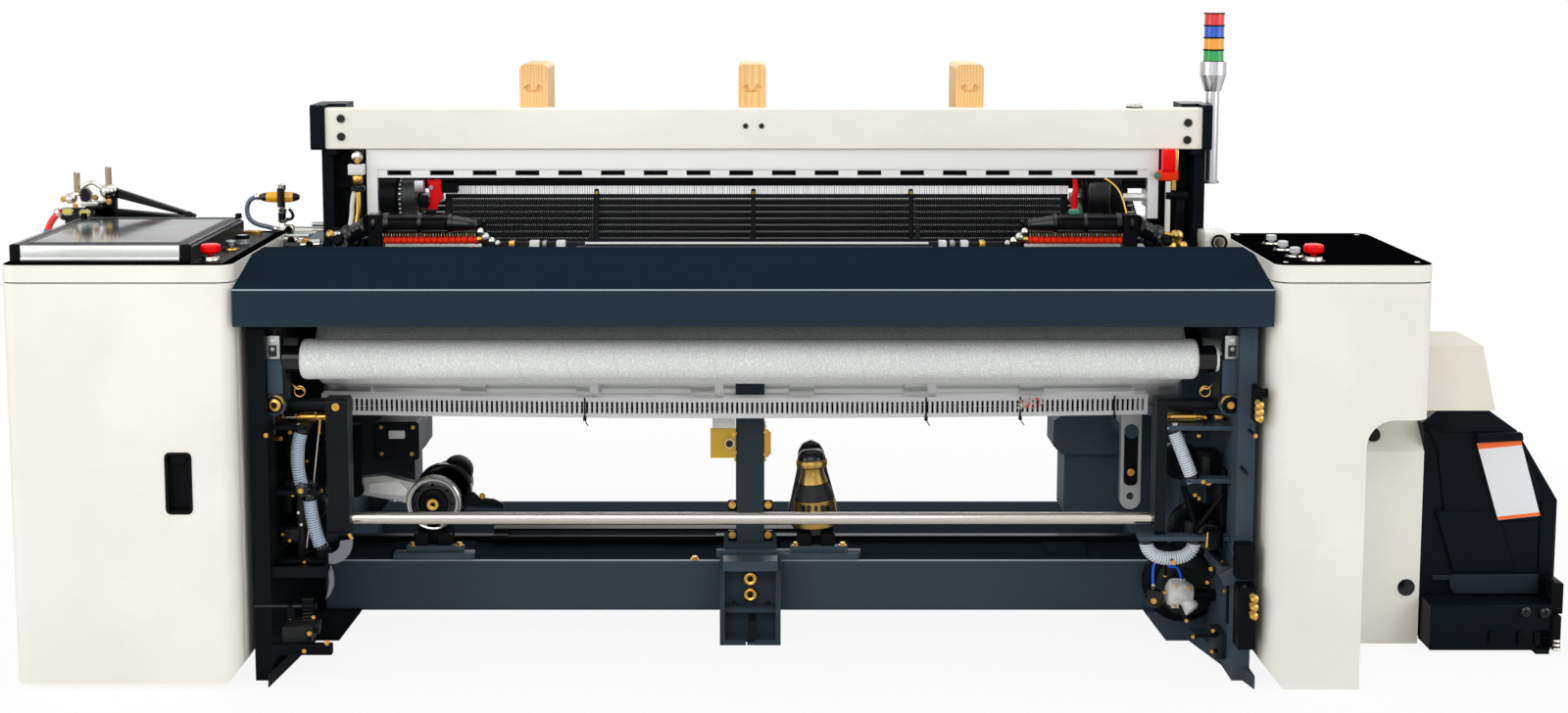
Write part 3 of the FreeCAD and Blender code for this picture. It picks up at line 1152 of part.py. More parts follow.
def right_leno_rotor():
    end = RIGHT_LENO_START + RIGHT_LENO_LENGTH
    return mirrored(leno_rotor(-end, RIGHT_LENO_LENGTH))


def leno_lever(x0, width):
    """A flat lever on the rotor's pin, with a notched lower end."""
    y0, y1 = LENO_Y - 8, LENO_Y + 8
    top, low = LENO_Z + 48, LENO_Z - 50
    x1 = x0 + LENO_LEVER_THICKNESS
    outline = [(LENO_Y - 14, top), (LENO_Y + 14, top), (LENO_Y + 14, low + 16), (LENO_Y + 2, low)]
    outline.append((LENO_Y - 14, low))
    plate = prism_x(outline, x0, x1)
    hub = rod_x(x0 - 4, x1 + 4, LENO_Y, LENO_Z, 18)
    face = block(x0, x0 + width, y0 + 18, y1 + 12, LENO_Z + 14, top)
    bore = rod_x(x0 - 5, x1 + width, LENO_Y, LENO_Z, LENO_PIN_RADIUS)
    return fuse(plate, hub, face).cut(bore)


def leno_levers():
    left = leno_lever(LEFT_LENO_START + LEFT_LENO_LENGTH + 6, LEFT_LENO_LEVER_WIDTH)
    right = mirrored(leno_lever(-RIGHT_LENO_START + 6, RIGHT_LENO_LEVER_WIDTH))
    return group(left, right)


def temple_body(end, out):
    """A temple's holder: a ribbed barrel, a pointed nose, and feet that also hold its roller."""
    def x_at(distance):
        return end - out * distance

    def span(a, b):
        return min(x_at(a), x_at(b)), max(x_at(a), x_at(b))
    r, y, z = TEMPLE_RADIUS, TEMPLE_Y, TEMPLE_Z
    total = TEMPLE_LENGTH
    profile = [(TEMPLE_FOOT, r - 4), (TEMPLE_FOOT + 6, r)]
    for rib in (0.3, 0.62, 0.97):
        middle = TEMPLE_FOOT + (total - TEMPLE_FOOT) * rib
        profile += [(middle - 5, r), (middle - 5, r + 3), (middle + 2, r + 3), (middle + 2, r)]
    tip = total + TEMPLE_NOSE
    profile += [(total + 4, r - 2), (tip - 30, 8), (tip, 6)]
    outline = sorted([(x_at(distance), radius) for distance, radius in profile], key=lambda pair: pair[0])
    barrel = turned_profile(outline, y, z)
    x0, x1 = span(0, TEMPLE_FOOT)
    block_foot = block(x0, x1, y - 20, LEDGE_REAR, LEDGE_TOP, z + r + 2)
    x0, x1 = span(total - 8, total)
    middle_foot = block(x0, x1, y - 16, y + 16, z - 14, z)
    x0, x1 = span(tip, tip + 8)
    tip_foot = block(x0, x1, y - 8, LEDGE_REAR, LEDGE_TOP, z + 6)
    body = fuse(barrel, block_foot, middle_foot, tip_foot)
    x0, x1 = span(TEMPLE_FOOT - 12, tip + 8)
    bore = rod_x(x0, x1, TEMPLE_ROLLER_Y, TEMPLE_ROLLER_Z, TEMPLE_JOURNAL + RUNNING_FIT)
    x0, x1 = span(TEMPLE_FOOT, tip)
    room = rod_x(x0, x1, TEMPLE_ROLLER_Y, TEMPLE_ROLLER_Z, TEMPLE_ROLLER_RADIUS + 2)
    return body.cut(bore).cut(room)




def temple_roller(end, out):
    """A row of toothed rings on one axle."""
    start, stop = TEMPLE_FOOT + 2, TEMPLE_LENGTH + TEMPLE_NOSE - 2
    pitch = (stop - start) / TEMPLE_ROLLER_RINGS
    profile = []
    for number in range(TEMPLE_ROLLER_RINGS):
        near = start + number * pitch
        profile += [(near, TEMPLE_ROLLER_RADIUS - 3), (near, TEMPLE_ROLLER_RADIUS)]
        far = near + pitch * 0.7
        profile += [(far, TEMPLE_ROLLER_RADIUS), (far, TEMPLE_ROLLER_RADIUS - 3)]
    if out > 0:
        profile.reverse()
    outline = [(end - out * distance, radius) for distance, radius in profile]
    barrel = turned_profile(outline, TEMPLE_ROLLER_Y, TEMPLE_ROLLER_Z)
    ends = sorted((end - out * (TEMPLE_FOOT - 10), end - out * (TEMPLE_LENGTH + TEMPLE_NOSE + 6)))
    axle = rod_x(ends[0], ends[1], TEMPLE_ROLLER_Y, TEMPLE_ROLLER_Z, TEMPLE_JOURNAL)
    return fuse(barrel, axle)


def temple_bodies():
    return group(temple_body(LEFT_TEMPLE_END, -1), temple_body(RIGHT_TEMPLE_END, 1))


# ---- jack levers ----

def left_jack_lever():
    """A two-plate lever on the left pad: a round hub, a long arm and a short arm to the bars."""
    x, z, y0 = LEFT_LEVER_X, LEFT_LEVER_Z, LEVER_Y
    y1 = y0 + LEVER_THICKNESS
    tip_x, tip_z = x - LEFT_LEVER_REACH, z + LEFT_LEVER_RISE
    arm = prism_y([(tip_x, tip_z - 20), (tip_x, tip_z + 22), (x - 20, z + 58), (x - 20, z - 58),
                   (x - 62, z - 34), (x - 95, tip_z - 26)], y0, y1)
    hub = rod_y(x, y0, y1, z, LEVER_HUB_RADIUS)
    end = rod_y(tip_x, y0, y1, tip_z, 21)
    foot = block(x - 18, x + 18, y0, y1, BAR_Z - 4, z - 40)
    bore = rod_y(x, y0 - 1, y1 + 1, z, LEVER_AXLE_RADIUS + RUNNING_FIT)
    return fuse(arm, hub, end, foot).cut(bore)


def centre_jack_lever():
    x, z, y0 = CENTRE_LEVER_X, CENTRE_LEVER_Z, LEVER_Y
    y1 = y0 + LEVER_THICKNESS
    top = z + CENTRE_LEVER_RISE
    arm = prism_y([(x - 56, z - 10), (x - 32, top), (x + 32, top), (x + 56, z - 10)], y0, y1)
    hub = rod_y(x, y0, y1, z, LEVER_HUB_RADIUS)
    head = rod_y(x, y0, y1, top, 32)
    boss = Part.makeCone(17, 30, 40, point(x, y0 - 40, top), point(0, 1, 0))
    bore = rod_y(x, y0 - 1, y1 + 1, z, LEVER_AXLE_RADIUS + RUNNING_FIT)
    return fuse(arm, hub, head, boss).cut(bore)


def right_jack_lever():
    """The hanging lever at the right, on a pin from the gear box beside it."""
    x, top, y0 = RIGHT_LEVER_X, RIGHT_LEVER_TOP, LEVER_Y
    y1 = y0 + LEVER_THICKNESS
    half = RIGHT_LEVER_WIDTH / 2
    low = top - RIGHT_LEVER_LENGTH
    bar = block(x - half, x + half, y0, y1, low, top + RIGHT_LEVER_HEAD)
    bore = rod_y(x, y0 - 1, y1 + 1, top, LEVER_AXLE_RADIUS + RUNNING_FIT)
    hole = rod_y(x, y0 - 1, y1 + 1, low + 8, 9)
    return fuse(bar, rod_y(x, y0, y1, low, half)).cut(bore).cut(hole)


def right_lever_pin():
    """The pin and arm, part of the right side frame, that the hanging lever turns on."""
    pin = rod_y(RIGHT_LEVER_X, LEVER_Y - 6, BOX_FRONT, RIGHT_LEVER_TOP, LEVER_AXLE_RADIUS)
    flange = rod_y(RIGHT_LEVER_X, LEVER_Y + LEVER_THICKNESS + SIDE_GAP, BOX_FRONT + 5, RIGHT_LEVER_TOP, 28)
    return fuse(pin, flange)


def lever_link():
    """The upright link beside the left lever's end."""
    x = LEFT_LEVER_X - LEFT_LEVER_REACH
    y1 = LEVER_Y - SIDE_GAP
    low = LEFT_LEVER_Z + LEFT_LEVER_RISE
    bar = block(x - 15, x + 15, y1 - 12, y1, low, 520)
    return fuse(bar, rod_y(x, y1 - 12, y1, low, 19))


def connecting_bars():
    """The two flat bars that tie the levers together, lying side by side."""
    low = BAR_Z - BAR_THICKNESS - 2
    front = BAR_FRONT - BAR_DEPTH - 2
    long_bar = block(BAR_LEFT, LONG_BAR_RIGHT, BAR_FRONT, BAR_FRONT + BAR_DEPTH, BAR_Z, BAR_Z + BAR_THICKNESS)
    short_bar = block(BAR_LEFT, SHORT_BAR_RIGHT, front, front + BAR_DEPTH, low, low + BAR_THICKNESS)
    tie = block(BAR_LEFT, BAR_LEFT + 40, front, BAR_FRONT + 10, low + BAR_THICKNESS, BAR_Z)
    return fuse(long_bar, short_bar, tie)


# ---- warp side ----

def warp_stop_rails():
    """A rack of serrated bars, rising to the rear, on three supports and two end plates."""
    pieces = []
    rise = STOP_RAIL_STEP_Z
    for number in range(STOP_RAIL_COUNT):
        y = STOP_RAIL_FRONT + number * STOP_RAIL_STEP_Y
        z = STOP_RAIL_Z + number * rise
        pieces.append(block(-STOP_RAIL_HALF, STOP_RAIL_HALF, y, y + STOP_RAIL_THICKNESS,
                            z, z + STOP_RAIL_HEIGHT))
    last_y = STOP_RAIL_FRONT + (STOP_RAIL_COUNT - 1) * STOP_RAIL_STEP_Y + STOP_RAIL_THICKNESS
    last_z = STOP_RAIL_Z + (STOP_RAIL_COUNT - 1) * rise
    slope = [(STOP_RAIL_FRONT - 4, STOP_RAIL_Z - 30), (STOP_RAIL_FRONT - 4, STOP_RAIL_Z + STOP_RAIL_HEIGHT + 2)]
    slope += [(last_y + 4, last_z + STOP_RAIL_HEIGHT + 2), (last_y + 4, last_z - 30)]
    half = STOP_SUPPORT_WIDTH / 2
    for x in STOP_SUPPORT_PLACES:
        pieces.append(prism_x(slope, x - half, x + half))
    for x in (-STOP_RAIL_HALF, STOP_RAIL_HALF - STOP_SUPPORT_WIDTH):
        pieces.append(prism_x(slope, x, x + STOP_SUPPORT_WIDTH))
    return fuse(pieces[0], *pieces[1:])


# ---- hoses ----

def arc_path(points):
    """Straight runs joined by tangent arcs, each as large as its two runs allow."""
    knots = [point(*p) for p in points]
    edges = []
    start = knots[0]
    for before, corner, after in zip(knots, knots[1:], knots[2:]):
        back, ahead = before - corner, after - corner
        shorter = min(back.Length, ahead.Length)
        back.normalize()
        ahead.normalize()
        turn = math.pi - back.getAngle(ahead)
        reach = 0.45 * shorter
        radius = reach / math.tan(turn / 2)
        print(f"bend radius {radius:.1f} mm")
        first, last = corner + back * reach, corner + ahead * reach
        inward = back + ahead
        inward.normalize()
        middle = corner + inward * (radius / math.cos(turn / 2) - radius)
        edges.append(Part.makeLine(start, first))
        edges.append(Part.Arc(first, middle, last).toShape())
        start = last
    edges.append(Part.makeLine(start, knots[-1]))
    return Part.Wire(edges)


def plain_tube(points, radius):
    """A round tube along a bent path; its volume is compared with section times length."""
    path = arc_path(points)
    start = point(*points[0])
    ahead = point(*points[1]) - start
    circle = Part.Wire([Part.makeCircle(radius, start, ahead)])
    tube = path.makePipeShell([circle], True, False)
    share = tube.Volume / (math.pi * radius ** 2 * path.Length)
    print(f"tube of {path.Length:.0f} mm, volume over section times length {share:.4f}")
    return tube


def hose_ring(centre, along, radius):
    """One circle of a hose, square to its route, with its start kept on the y axis."""
    ring = Part.makeCircle(radius)
    side = point(0, 1, 0)
    turn = FreeCAD.Rotation(side, along.cross(side), along, "ZXY")
    ring.Placement = FreeCAD.Placement(centre, turn)
    return Part.Wire([ring])


def ribbed_hose(route, ribs):
    """A hose whose ribs follow an arc: route gives a point and a direction for a share 0 to 1."""
    outer, inner = [], []
    root, crest = HOSE_RADIUS - HOSE_RIB, HOSE_RADIUS
    steps = (0.0, 0.15, 0.5, 0.65)
    radii = (root, crest, crest, root)
    plain = 0.14
    stations = [(0.0, root)]
    for number in range(ribs):
        for step, radius in zip(steps, radii):
            share = plain + (1 - 2 * plain) * (number + step) / ribs
            stations.append((share, radius))
    stations.append((1.0, root))
    for share, radius in stations:
        centre, along = route(share)
        outer.append(hose_ring(centre, along, radius))
    for number in range(ribs + 1):
        centre, along = route(number / ribs)
        inner.append(hose_ring(centre, along, root - HOSE_WALL))
    shell = Part.makeLoft(outer, True, True)
    bore = Part.makeLoft(inner, True, True)
    return shell.cut(bore)


def arc_route(start_x, start_z, end_x, end_z, bulge):
    """A route in the plane y = HOSE_Y, along an arc that bulges sideways from its chord."""
    chord = point(end_x - start_x, 0, end_z - start_z)
    half = chord.Length / 2
    radius = (half ** 2 + bulge ** 2) / (2 * abs(bulge))
    spread = math.asin(half / radius)
    if abs(bulge) > half:
        spread = math.pi - spread
    along = point(chord.x, 0, chord.z).normalize()
    side = point(along.z, 0, -along.x) * math.copysign(1, bulge)
    middle = point((start_x + end_x) / 2, HOSE_Y, (start_z + end_z) / 2)
    centre = middle + side * (abs(bulge) - radius)

    def route(share):
        angle = (2 * share - 1) * spread
        place = centre + side * (radius * math.cos(angle)) + along * (radius * math.sin(angle))
        return place, along * math.cos(angle) - side * math.sin(angle)
    return route


def hoses():
    """Ribbed drain hoses at both ends, the blue air line, the red weft tube and the sensor cable."""
    e = HOSE_OVERRUN
    low, high = LEFT_HOSE_MIDDLE, LEFT_HOSE_TOP
    routes = [(arc_route(-1036, high + e, -1040, low - e, 14), low, high)]
    low, high = TRAY_Z + TRAY_THICKNESS, LEFT_HOSE_MIDDLE - LUG_THICKNESS
    routes.append((arc_route(-1022, high + e, -993, low - e, 7), low, high))
    low, high = RIGHT_HOSE_BOTTOM, RIGHT_HOSE_TOP
    routes.append((arc_route(972, high + e, 1016, low - e, -7), low, high))
    routes.append((arc_route(909, U_HOSE_TOP + e, 1023, U_HOSE_TOP + e, 50), 0, U_HOSE_TOP))
    hose_list = []
    for route, low, high in routes:
        room = block(-FRAME_OUTSIDE, FRAME_OUTSIDE, 0, 2 * HOSE_Y, low, high)
        hose_list.append(ribbed_hose(route, HOSE_RIBS).common(room))
    line_x, line_y = GAUGE_X, VALVE_Y
    top = VALVE_Z + VALVE_RADIUS
    line = [(line_x, line_y, VALVE_Z + GAUGE_RADIUS), (line_x, line_y, top + 40), (line_x + 16, line_y, top + 62)]
    line += [(VALVE_X - 16, line_y, top + 62), (VALVE_X, line_y, top + 40), (VALVE_X, line_y, top)]
    hose_list.append(plain_tube(line, AIR_LINE_RADIUS))
    y = FEEDER_Y
    reach = RED_TUBE_REACH
    deck = CABINET_HEIGHT
    red = [(reach + 30, y, deck + 26), (reach + 4, y, deck + 26), (reach, y + 2, deck - 27), (reach, y, deck - 92)]
    end = deck - CLIP_DROP + CLIP_HEIGHT / 2
    red += [(reach + 8, y - 3, end + 60), (reach + 40, y - 6, end), (LEFT_CABINET_LEFT - 24, y - 6, end)]
    hose_list.append(plain_tube(red, RED_TUBE_RADIUS))
    z = SENSOR_EYE_Z
    cable = [(SENSOR_X - 50, SENSOR_Y, z), (SENSOR_X - 76, SENSOR_Y, z), (SENSOR_X - 84, SENSOR_Y - 2, z - 28)]
    cable += [(SENSOR_X - 68, SENSOR_Y - 4, z - 52), (SENSOR_X - 46, SENSOR_Y - 4, z - 62)]
    cable += [(SENSOR_X - 46, SENSOR_Y - 4, CABINET_HEIGHT)]
    hose_list.append(plain_tube(cable, CABLE_RADIUS))
    return group(*hose_list)


# ---- small fittings ----

def air_valve():
    """The white valve body on its stub from the side frame, with the round gauge before it."""
    x, y, z, r = VALVE_X, VALVE_Y, VALVE_Z, VALVE_RADIUS
    body = rod_x(x - VALVE_HALF, x + VALVE_HALF, y, z, r)
    waist = rod_x(x - VALVE_HALF - 12, x - VALVE_HALF, y, z, r * 0.6)
    drum = rod_z(x + 4, y, z - r - 26, z, r * 0.7)
    stub = rod_x(x + VALVE_HALF, FRAME_INSIDE, y, z, 14)
    neck = rod_x(GAUGE_X, x - VALVE_HALF, y, z, 6)
    gauge = rod_y(GAUGE_X, y - 14, y + 10, z, GAUGE_RADIUS)
    return fuse(body, waist, drum, stub, neck, gauge)


def bolt(x, y, z, radius=BOLT_RADIUS):
    """A bolt head that faces the front, on a plate whose face is at y."""
    head = rod_y(x, y - BOLT_HEIGHT, y, z, radius)
    return head.cut(rod_y(x, y - BOLT_HEIGHT, y - BOLT_HEIGHT / 2, z, radius * 0.45))


def turnbuckle(x0, x1, z, y):
    """A thin rod with two thick brass sleeves."""
    length = x1 - x0
    sleeves = [rod_x(x0 + length * 0.42, x0 + length * 0.7, y, z, 9), rod_x(x0 + length * 0.73, x1, y, z, 8)]
    return fuse(rod_x(x0, x1, y, z, 4), *sleeves)


def brass_fittings():
    """Brass bolts and turnbuckles, each a separate solid on the plate that it holds."""
    y, z = CLOTH_SHAFT_Y + 20, 593.0
    solids = [turnbuckle(-FRAME_INSIDE, ARM_LEFT, z, y)]
    solids.append(mirrored(turnbuckle(-FRAME_INSIDE, -ARM_RIGHT - ARM_RIGHT_WIDTH, z, y)))
    bracket_face = PRESS_Y - BRACKET_DEPTH / 2
    for x in (-FRAME_INSIDE + BRACKET_WIDTH / 2, FRAME_INSIDE - BRACKET_WIDTH / 2):
        solids.append(bolt(x, bracket_face, BRACKET_BOTTOM + 22, 15))
    arm_face = CLOTH_SHAFT_Y - ARM_DEPTH / 2
    solids.append(bolt(ARM_LEFT + ARM_LEFT_WIDTH / 2, arm_face, ARM_PIN_Z))
    foot_x = CENTRE_FOOT_LEFT + CENTRE_FOOT_WIDTH / 2
    for z in (152.0, 112.0):
        solids.append(bolt(foot_x, STAY_FRONT - CENTRE_FOOT_PLATE, z, 15))
    lug_face = HOSE_Y - LUG_DEPTH / 2
    solids.append(bolt(-1034, lug_face, LEFT_HOSE_MIDDLE - LUG_THICKNESS / 2, 5))
    solids.append(bolt(1034, lug_face, RIGHT_HOSE_BOTTOM - LUG_THICKNESS / 2, 5))
    clamp_middle = CLAMP_BOTTOM + CLAMP_HEIGHT / 2
    solids.append(bolt(POST_LEFT - CLAMP_REACH / 4, POST_FRONT - CLAMP_SHEET, clamp_middle, 10))
    return group(*solids)


def nozzle_columns():
    """The upright air feeds at both ends, hung from the rail under the top beam."""
    solids = []
    top, low, y = BEAM_BOTTOM, NOZZLE_BOTTOM, NOZZLE_Y
    for x in (LEFT_NOZZLE_X, RIGHT_NOZZLE_X):
        pieces = [rod_z(x, y, low, top, 7)]
        pieces.append(block(x - 20, x + 20, y - 12, y + 12, top - 66, top - 42))
        pieces.append(rod_z(x, y, top - 92, top - 66, 11))
        pieces.append(rod_z(x, y, top - 112, top - 96, 26 if x > 0 else 15))
        pieces.append(rod_z(x, y, top - 190, top - 120, 9))
        pieces.append(block(x - 24, x + 14, y - 10, y + 10, low, low + 26))
        pieces.append(rod_z(x, y, low + 26, low + 40, 16))
        solids.append(fuse(pieces[0], *pieces[1:]))
    return group(*solids)


def bar_between(start, end, half_width):
    """A square bar between two points in one plane of y."""
    (x0, z0), (x1, z1) = start, end
    length = math.hypot(x1 - x0, z1 - z0)
    side_x, side_z = -(z1 - z0) / length * half_width, (x1 - x0) / length * half_width
    outline = [(x0 + side_x, z0 + side_z), (x1 + side_x / 2, z1 + side_z / 2)]
    outline += [(x1 - side_x / 2, z1 - side_z / 2), (x0 - side_x, z0 - side_z)]
    return prism_y(outline, FEEDER_Y - FEEDER_HALF_DEPTH, FEEDER_Y + FEEDER_HALF_DEPTH)


def weft_guides():
    """The weft feed arms behind the left cabinet, and the sensor post on its lid."""
    y, deck = FEEDER_Y, CABINET_HEIGHT
    left = LEFT_CABINET_LEFT
    low, high = deck + FEEDER_LOW, deck + FEEDER_HIGH
    wall = block(left + 10, left + 112, LEFT_CABINET_DEPTH, y + 20, deck - 112, low)
    carrier = block(left - 68, left + 112, y - 18, y + 18, low, high)
    upper = bar_between((left + 22, deck + 113), (left + 270, deck + 36), 13)
    lower = bar_between((left - 63, deck + 50), (left + 255, deck + 32), 14)
    clamp_1 = block(left - 47, left + 18, y - 20, y + 20, high, deck + 88)
    clamp_1 = round_edges(clamp_1, 10, (0, 1, 0), z=deck + 88)
    clamp_2 = block(left + 30, left + 80, y - 16, y + 16, high, deck + 125)
    clamp_2 = round_edges(clamp_2, 10, (0, 1, 0), z=deck + 125)
    studs = [rod_z(left - 10, y, deck + 83, deck + 145, 8), rod_z(left + 57, y, deck + 118, deck + 160, 8)]
    clip_low, clip_high = deck - CLIP_DROP, deck - CLIP_DROP + CLIP_HEIGHT
    side = block(left - 24, left, y - 26, y + 14, clip_low, clip_high)
    feeder = fuse(wall, carrier, upper, lower, clamp_1, clamp_2, *studs)
    side_clip = fuse(side, block(left, left + 20, LEFT_CABINET_DEPTH, y + 14, clip_low, clip_high))
    post = rod_z(SENSOR_X, SENSOR_Y, deck, SENSOR_TOP, 7)
    base = rod_z(SENSOR_X, SENSOR_Y, deck, deck + 14, 12)
    eye = rod_x(SENSOR_X - 50, SENSOR_X + 46, SENSOR_Y, SENSOR_EYE_Z, 15)
    return group(feeder, side_clip, fuse(post, base, eye))


PIECES = {
    "left_cabinet": left_cabinet, "left_door": left_door, "left_top_rim": left_top_rim,
    "touch_panel": touch_panel, "touch_screen": touch_screen,
    "left_stop_button": lambda: mushroom(LEFT_BUTTON_X, LEFT_STOP_Y),
    "left_start_button": lambda: push_button(LEFT_BUTTON_X, LEFT_START_Y),
    "right_cabinet": right_cabinet, "right_top_rim": right_top_rim, "right_glass_panel": right_glass_panel,
    "right_stop_button": lambda: mushroom(RIGHT_STOP_X, RIGHT_STOP_Y),
    "right_button_1": lambda: push_button(*RIGHT_HOLES[1][:2]),
    "right_button_2": lambda: push_button(*RIGHT_HOLES[2][:2]),
    "right_button_3": lambda: push_button(*RIGHT_HOLES[3][:2]),
    "upper_side_box": upper_side_box, "lower_side_cover": lower_side_cover,
    "drive_cover": drive_cover, "drive_stand": drive_stand, "drive_motor": drive_motor, "main_shaft": main_shaft,
    "left_side_frame": left_side_frame, "right_side_frame": lambda: fuse(right_side_frame(), right_lever_pin()),
    "front_stay": front_stay, "rear_stay": rear_stay, "breast_beam": breast_beam, "front_cover": front_cover,
    "centre_post": centre_post, "clamp_plates": clamp_plates, "centre_foot": centre_foot,
    "press_roller": press_roller, "take_up_roller": take_up_roller, "back_rest_roller": back_rest_roller,
    "cloth_shaft": cloth_shaft, "roller_brackets": roller_brackets, "cable_duct": cable_duct,
    "sley": sley, "reed": reed, "top_beam": top_beam, "beam_posts": beam_posts, "harness_rail": harness_rail,
    "wooden_guides": wooden_guides, "signal_pole": signal_pole, "signal_lamps": signal_lamps,
    "left_leno_rotor": left_leno_rotor, "right_leno_rotor": right_leno_rotor, "leno_levers": leno_levers,
    "temple_bodies": temple_bodies,
    "left_temple_roller": lambda: temple_roller(LEFT_TEMPLE_END, -1),
    "right_temple_roller": lambda: temple_roller(RIGHT_TEMPLE_END, 1),
    "left_jack_lever": left_jack_lever, "centre_jack_lever": centre_jack_lever,
    "right_jack_lever": right_jack_lever, "lever_link": lever_link, "connecting_bars": connecting_bars,
    "warp_stop_rails": warp_stop_rails, "hoses": hoses, "air_valve": air_valve,
    "brass_fittings": brass_fittings, "nozzle_columns": nozzle_columns, "weft_guides": weft_guides,
}

ORIGIN = point(-(RED_TUBE_REACH - RED_TUBE_RADIUS + DRIVE_RIGHT) / 2, -FRAME_REAR / 2, 0)

for name, make in PIECES.items():
    piece = make()
    piece.translate(ORIGIN)
    bounds = piece.BoundBox
    print(f"{name}: {len(piece.Solids)} solids, valid {piece.isValid()}, "
          f"x {bounds.XMin:.0f}..{bounds.XMax:.0f}, y {bounds.YMin:.0f}..{bounds.YMax:.0f}, "
          f"z {bounds.ZMin:.0f}..{bounds.ZMax:.0f}")
    piece.exportStep(f"parts/{name}.step")
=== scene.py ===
# %% [markdown]
# # Dressing a power loom
# A jet loom is a wide, low machine: two cream cabinets at the ends, a navy cover across the front, rollers below it
# and the weaving zone behind it. The CAD model already holds every main form at its real size, so this lesson keeps
# those solids, gives each one a finish made of shader nodes, and adds the small parts that a CAD solid leaves plain.

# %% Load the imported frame
import math
import random

import bmesh
import bpy
from mathutils import Matrix, Vector


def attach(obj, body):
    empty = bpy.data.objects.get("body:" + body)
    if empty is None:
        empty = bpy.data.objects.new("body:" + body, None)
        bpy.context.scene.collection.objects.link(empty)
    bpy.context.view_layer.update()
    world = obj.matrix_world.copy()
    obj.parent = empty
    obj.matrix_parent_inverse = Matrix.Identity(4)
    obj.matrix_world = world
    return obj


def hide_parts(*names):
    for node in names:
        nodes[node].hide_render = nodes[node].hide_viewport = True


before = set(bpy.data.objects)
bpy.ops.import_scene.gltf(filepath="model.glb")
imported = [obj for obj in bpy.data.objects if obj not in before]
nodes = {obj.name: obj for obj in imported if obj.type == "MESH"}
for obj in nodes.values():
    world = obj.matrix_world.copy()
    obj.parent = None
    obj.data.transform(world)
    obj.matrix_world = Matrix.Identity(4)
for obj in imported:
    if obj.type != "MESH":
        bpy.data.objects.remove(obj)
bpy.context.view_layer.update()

# %% [markdown]
# Measures were read in millimetres from the middle of the reed (x), the front of the cabinets (y) and the floor (z).
# The scene is in metres from the middle of the footprint. One small function turns the first into the second, so
# every number below can be compared with a ruler held against the real loom.

# %% From loom millimetres to scene metres
MM = 0.001
SHIFT = Vector((-77.75, -720.0, 0.0))


def at(x, y, z):
    """A point given in loom millimetres, in scene metres."""
    return (Vector((x, y, z)) + SHIFT) * MM


def srgb(red, green, blue):
    """A colour given as screen values from 0 to 255, as the linear values that shaders use."""
    channels = []
    for value in (red, green, blue):
        share = value / 255
        channels.append(share / 12.92 if share <= 0.04045 else ((share + 0.055) / 1.055) ** 2.4)
    return (*channels, 1.0)


def add_object(name, data):
    """A new object in the scene."""
    thing = bpy.data.objects.new(name, data)
    bpy.context.scene.collection.objects.link(thing)
    return thing


# %% [markdown]
# The photograph was taken from about head height, close to the loom, with the camera held nearly level. A small
# downward pitch and a little lens shift give the same framing, and leave the camera usable for views from elsewhere.

# %% Camera
FRAME_WIDTH = 1600
CAMERA_FOCAL = 2144.0                       # in pixels, as the frame's width
CAMERA_PITCH = math.radians(6.49)
SHIFT_RIGHT, SHIFT_UP = 30, -160            # in pixels
camera_data = bpy.data.cameras.new("photo_camera")
camera_data.sensor_width = 36.0
camera_data.lens = CAMERA_FOCAL / FRAME_WIDTH * camera_data.sensor_width
camera_data.shift_x = SHIFT_RIGHT / FRAME_WIDTH
camera_data.shift_y = SHIFT_UP / FRAME_WIDTH
camera_data.clip_end = 100
camera = add_object("photo_camera", camera_data)
camera.location = at(5, -4609, 1643)
camera.rotation_euler = (math.pi / 2 - CAMERA_PITCH, 0, 0)
bpy.context.scene.camera = camera
print("lens", round(camera_data.lens, 1), "mm")

# %% [markdown]
# Studio light for a catalogue picture comes from big soft boxes: one above in front, one on each side, and a weak one
# behind for the rims. The background is pure white only for the camera and for reflections, so the object itself
# isn't lit by it and colours come out as they are written.

# %% Lamps and world
AMBIENT_STRENGTH = 0.42
LAMP_AIM = (0, 500, 600)
LAMPS = [("front_box", (-900, -4200, 3600), 3.6, 96), ("left_box", (-4200, -1800, 2300), 2.6, 62),
         ("right_box", (4300, -1600, 2300), 2.6, 56), ("top_box", (100, 900, 4200), 3.4, 46),
         ("back_box", (600, 5200, 2600), 3.0, 60)]
for name, place, width, power in LAMPS:
    lamp = bpy.data.lights.new(name, "AREA")
    lamp.shape = "SQUARE"
    lamp.size = width
    lamp.energy = power
    holder = add_object(name, lamp)
    holder.location = at(*place)
    holder.rotation_euler = (at(*LAMP_AIM) - holder.location).to_track_quat("-Z", "Y").to_euler()

world = bpy.data.worlds.new("studio")
world.use_nodes = True
bpy.context.scene.world = world
world_nodes, link = world.node_tree.nodes, world.node_tree.links.new
ambient, backdrop = world_nodes["Background"], world_nodes.new("ShaderNodeBackground")
for light, strength in ((ambient, AMBIENT_STRENGTH), (backdrop, 1.0)):
    light.inputs["Color"].default_value = (1, 1, 1, 1)
    light.inputs["Strength"].default_value = strength
rays = world_nodes.new("ShaderNodeLightPath").outputs
seen = rays["Is Camera Ray"]
for kind in ("Is Glossy Ray", "Is Transmission Ray"):
    either = world_nodes.new("ShaderNodeMath")
    either.operation = "MAXIMUM"
    link(seen, either.inputs[0])
    link(rays[kind], either.inputs[1])
    seen = either.outputs[0]
chooser = world_nodes.new("ShaderNodeMixShader")
for number, source in enumerate((seen, ambient.outputs[0], backdrop.outputs[0])):
    link(source, chooser.inputs[number])
link(chooser.outputs[0], world_nodes["World Output"].inputs["Surface"])
bpy.context.scene.view_settings.view_transform = "Standard"
print("lamps:", len(LAMPS))

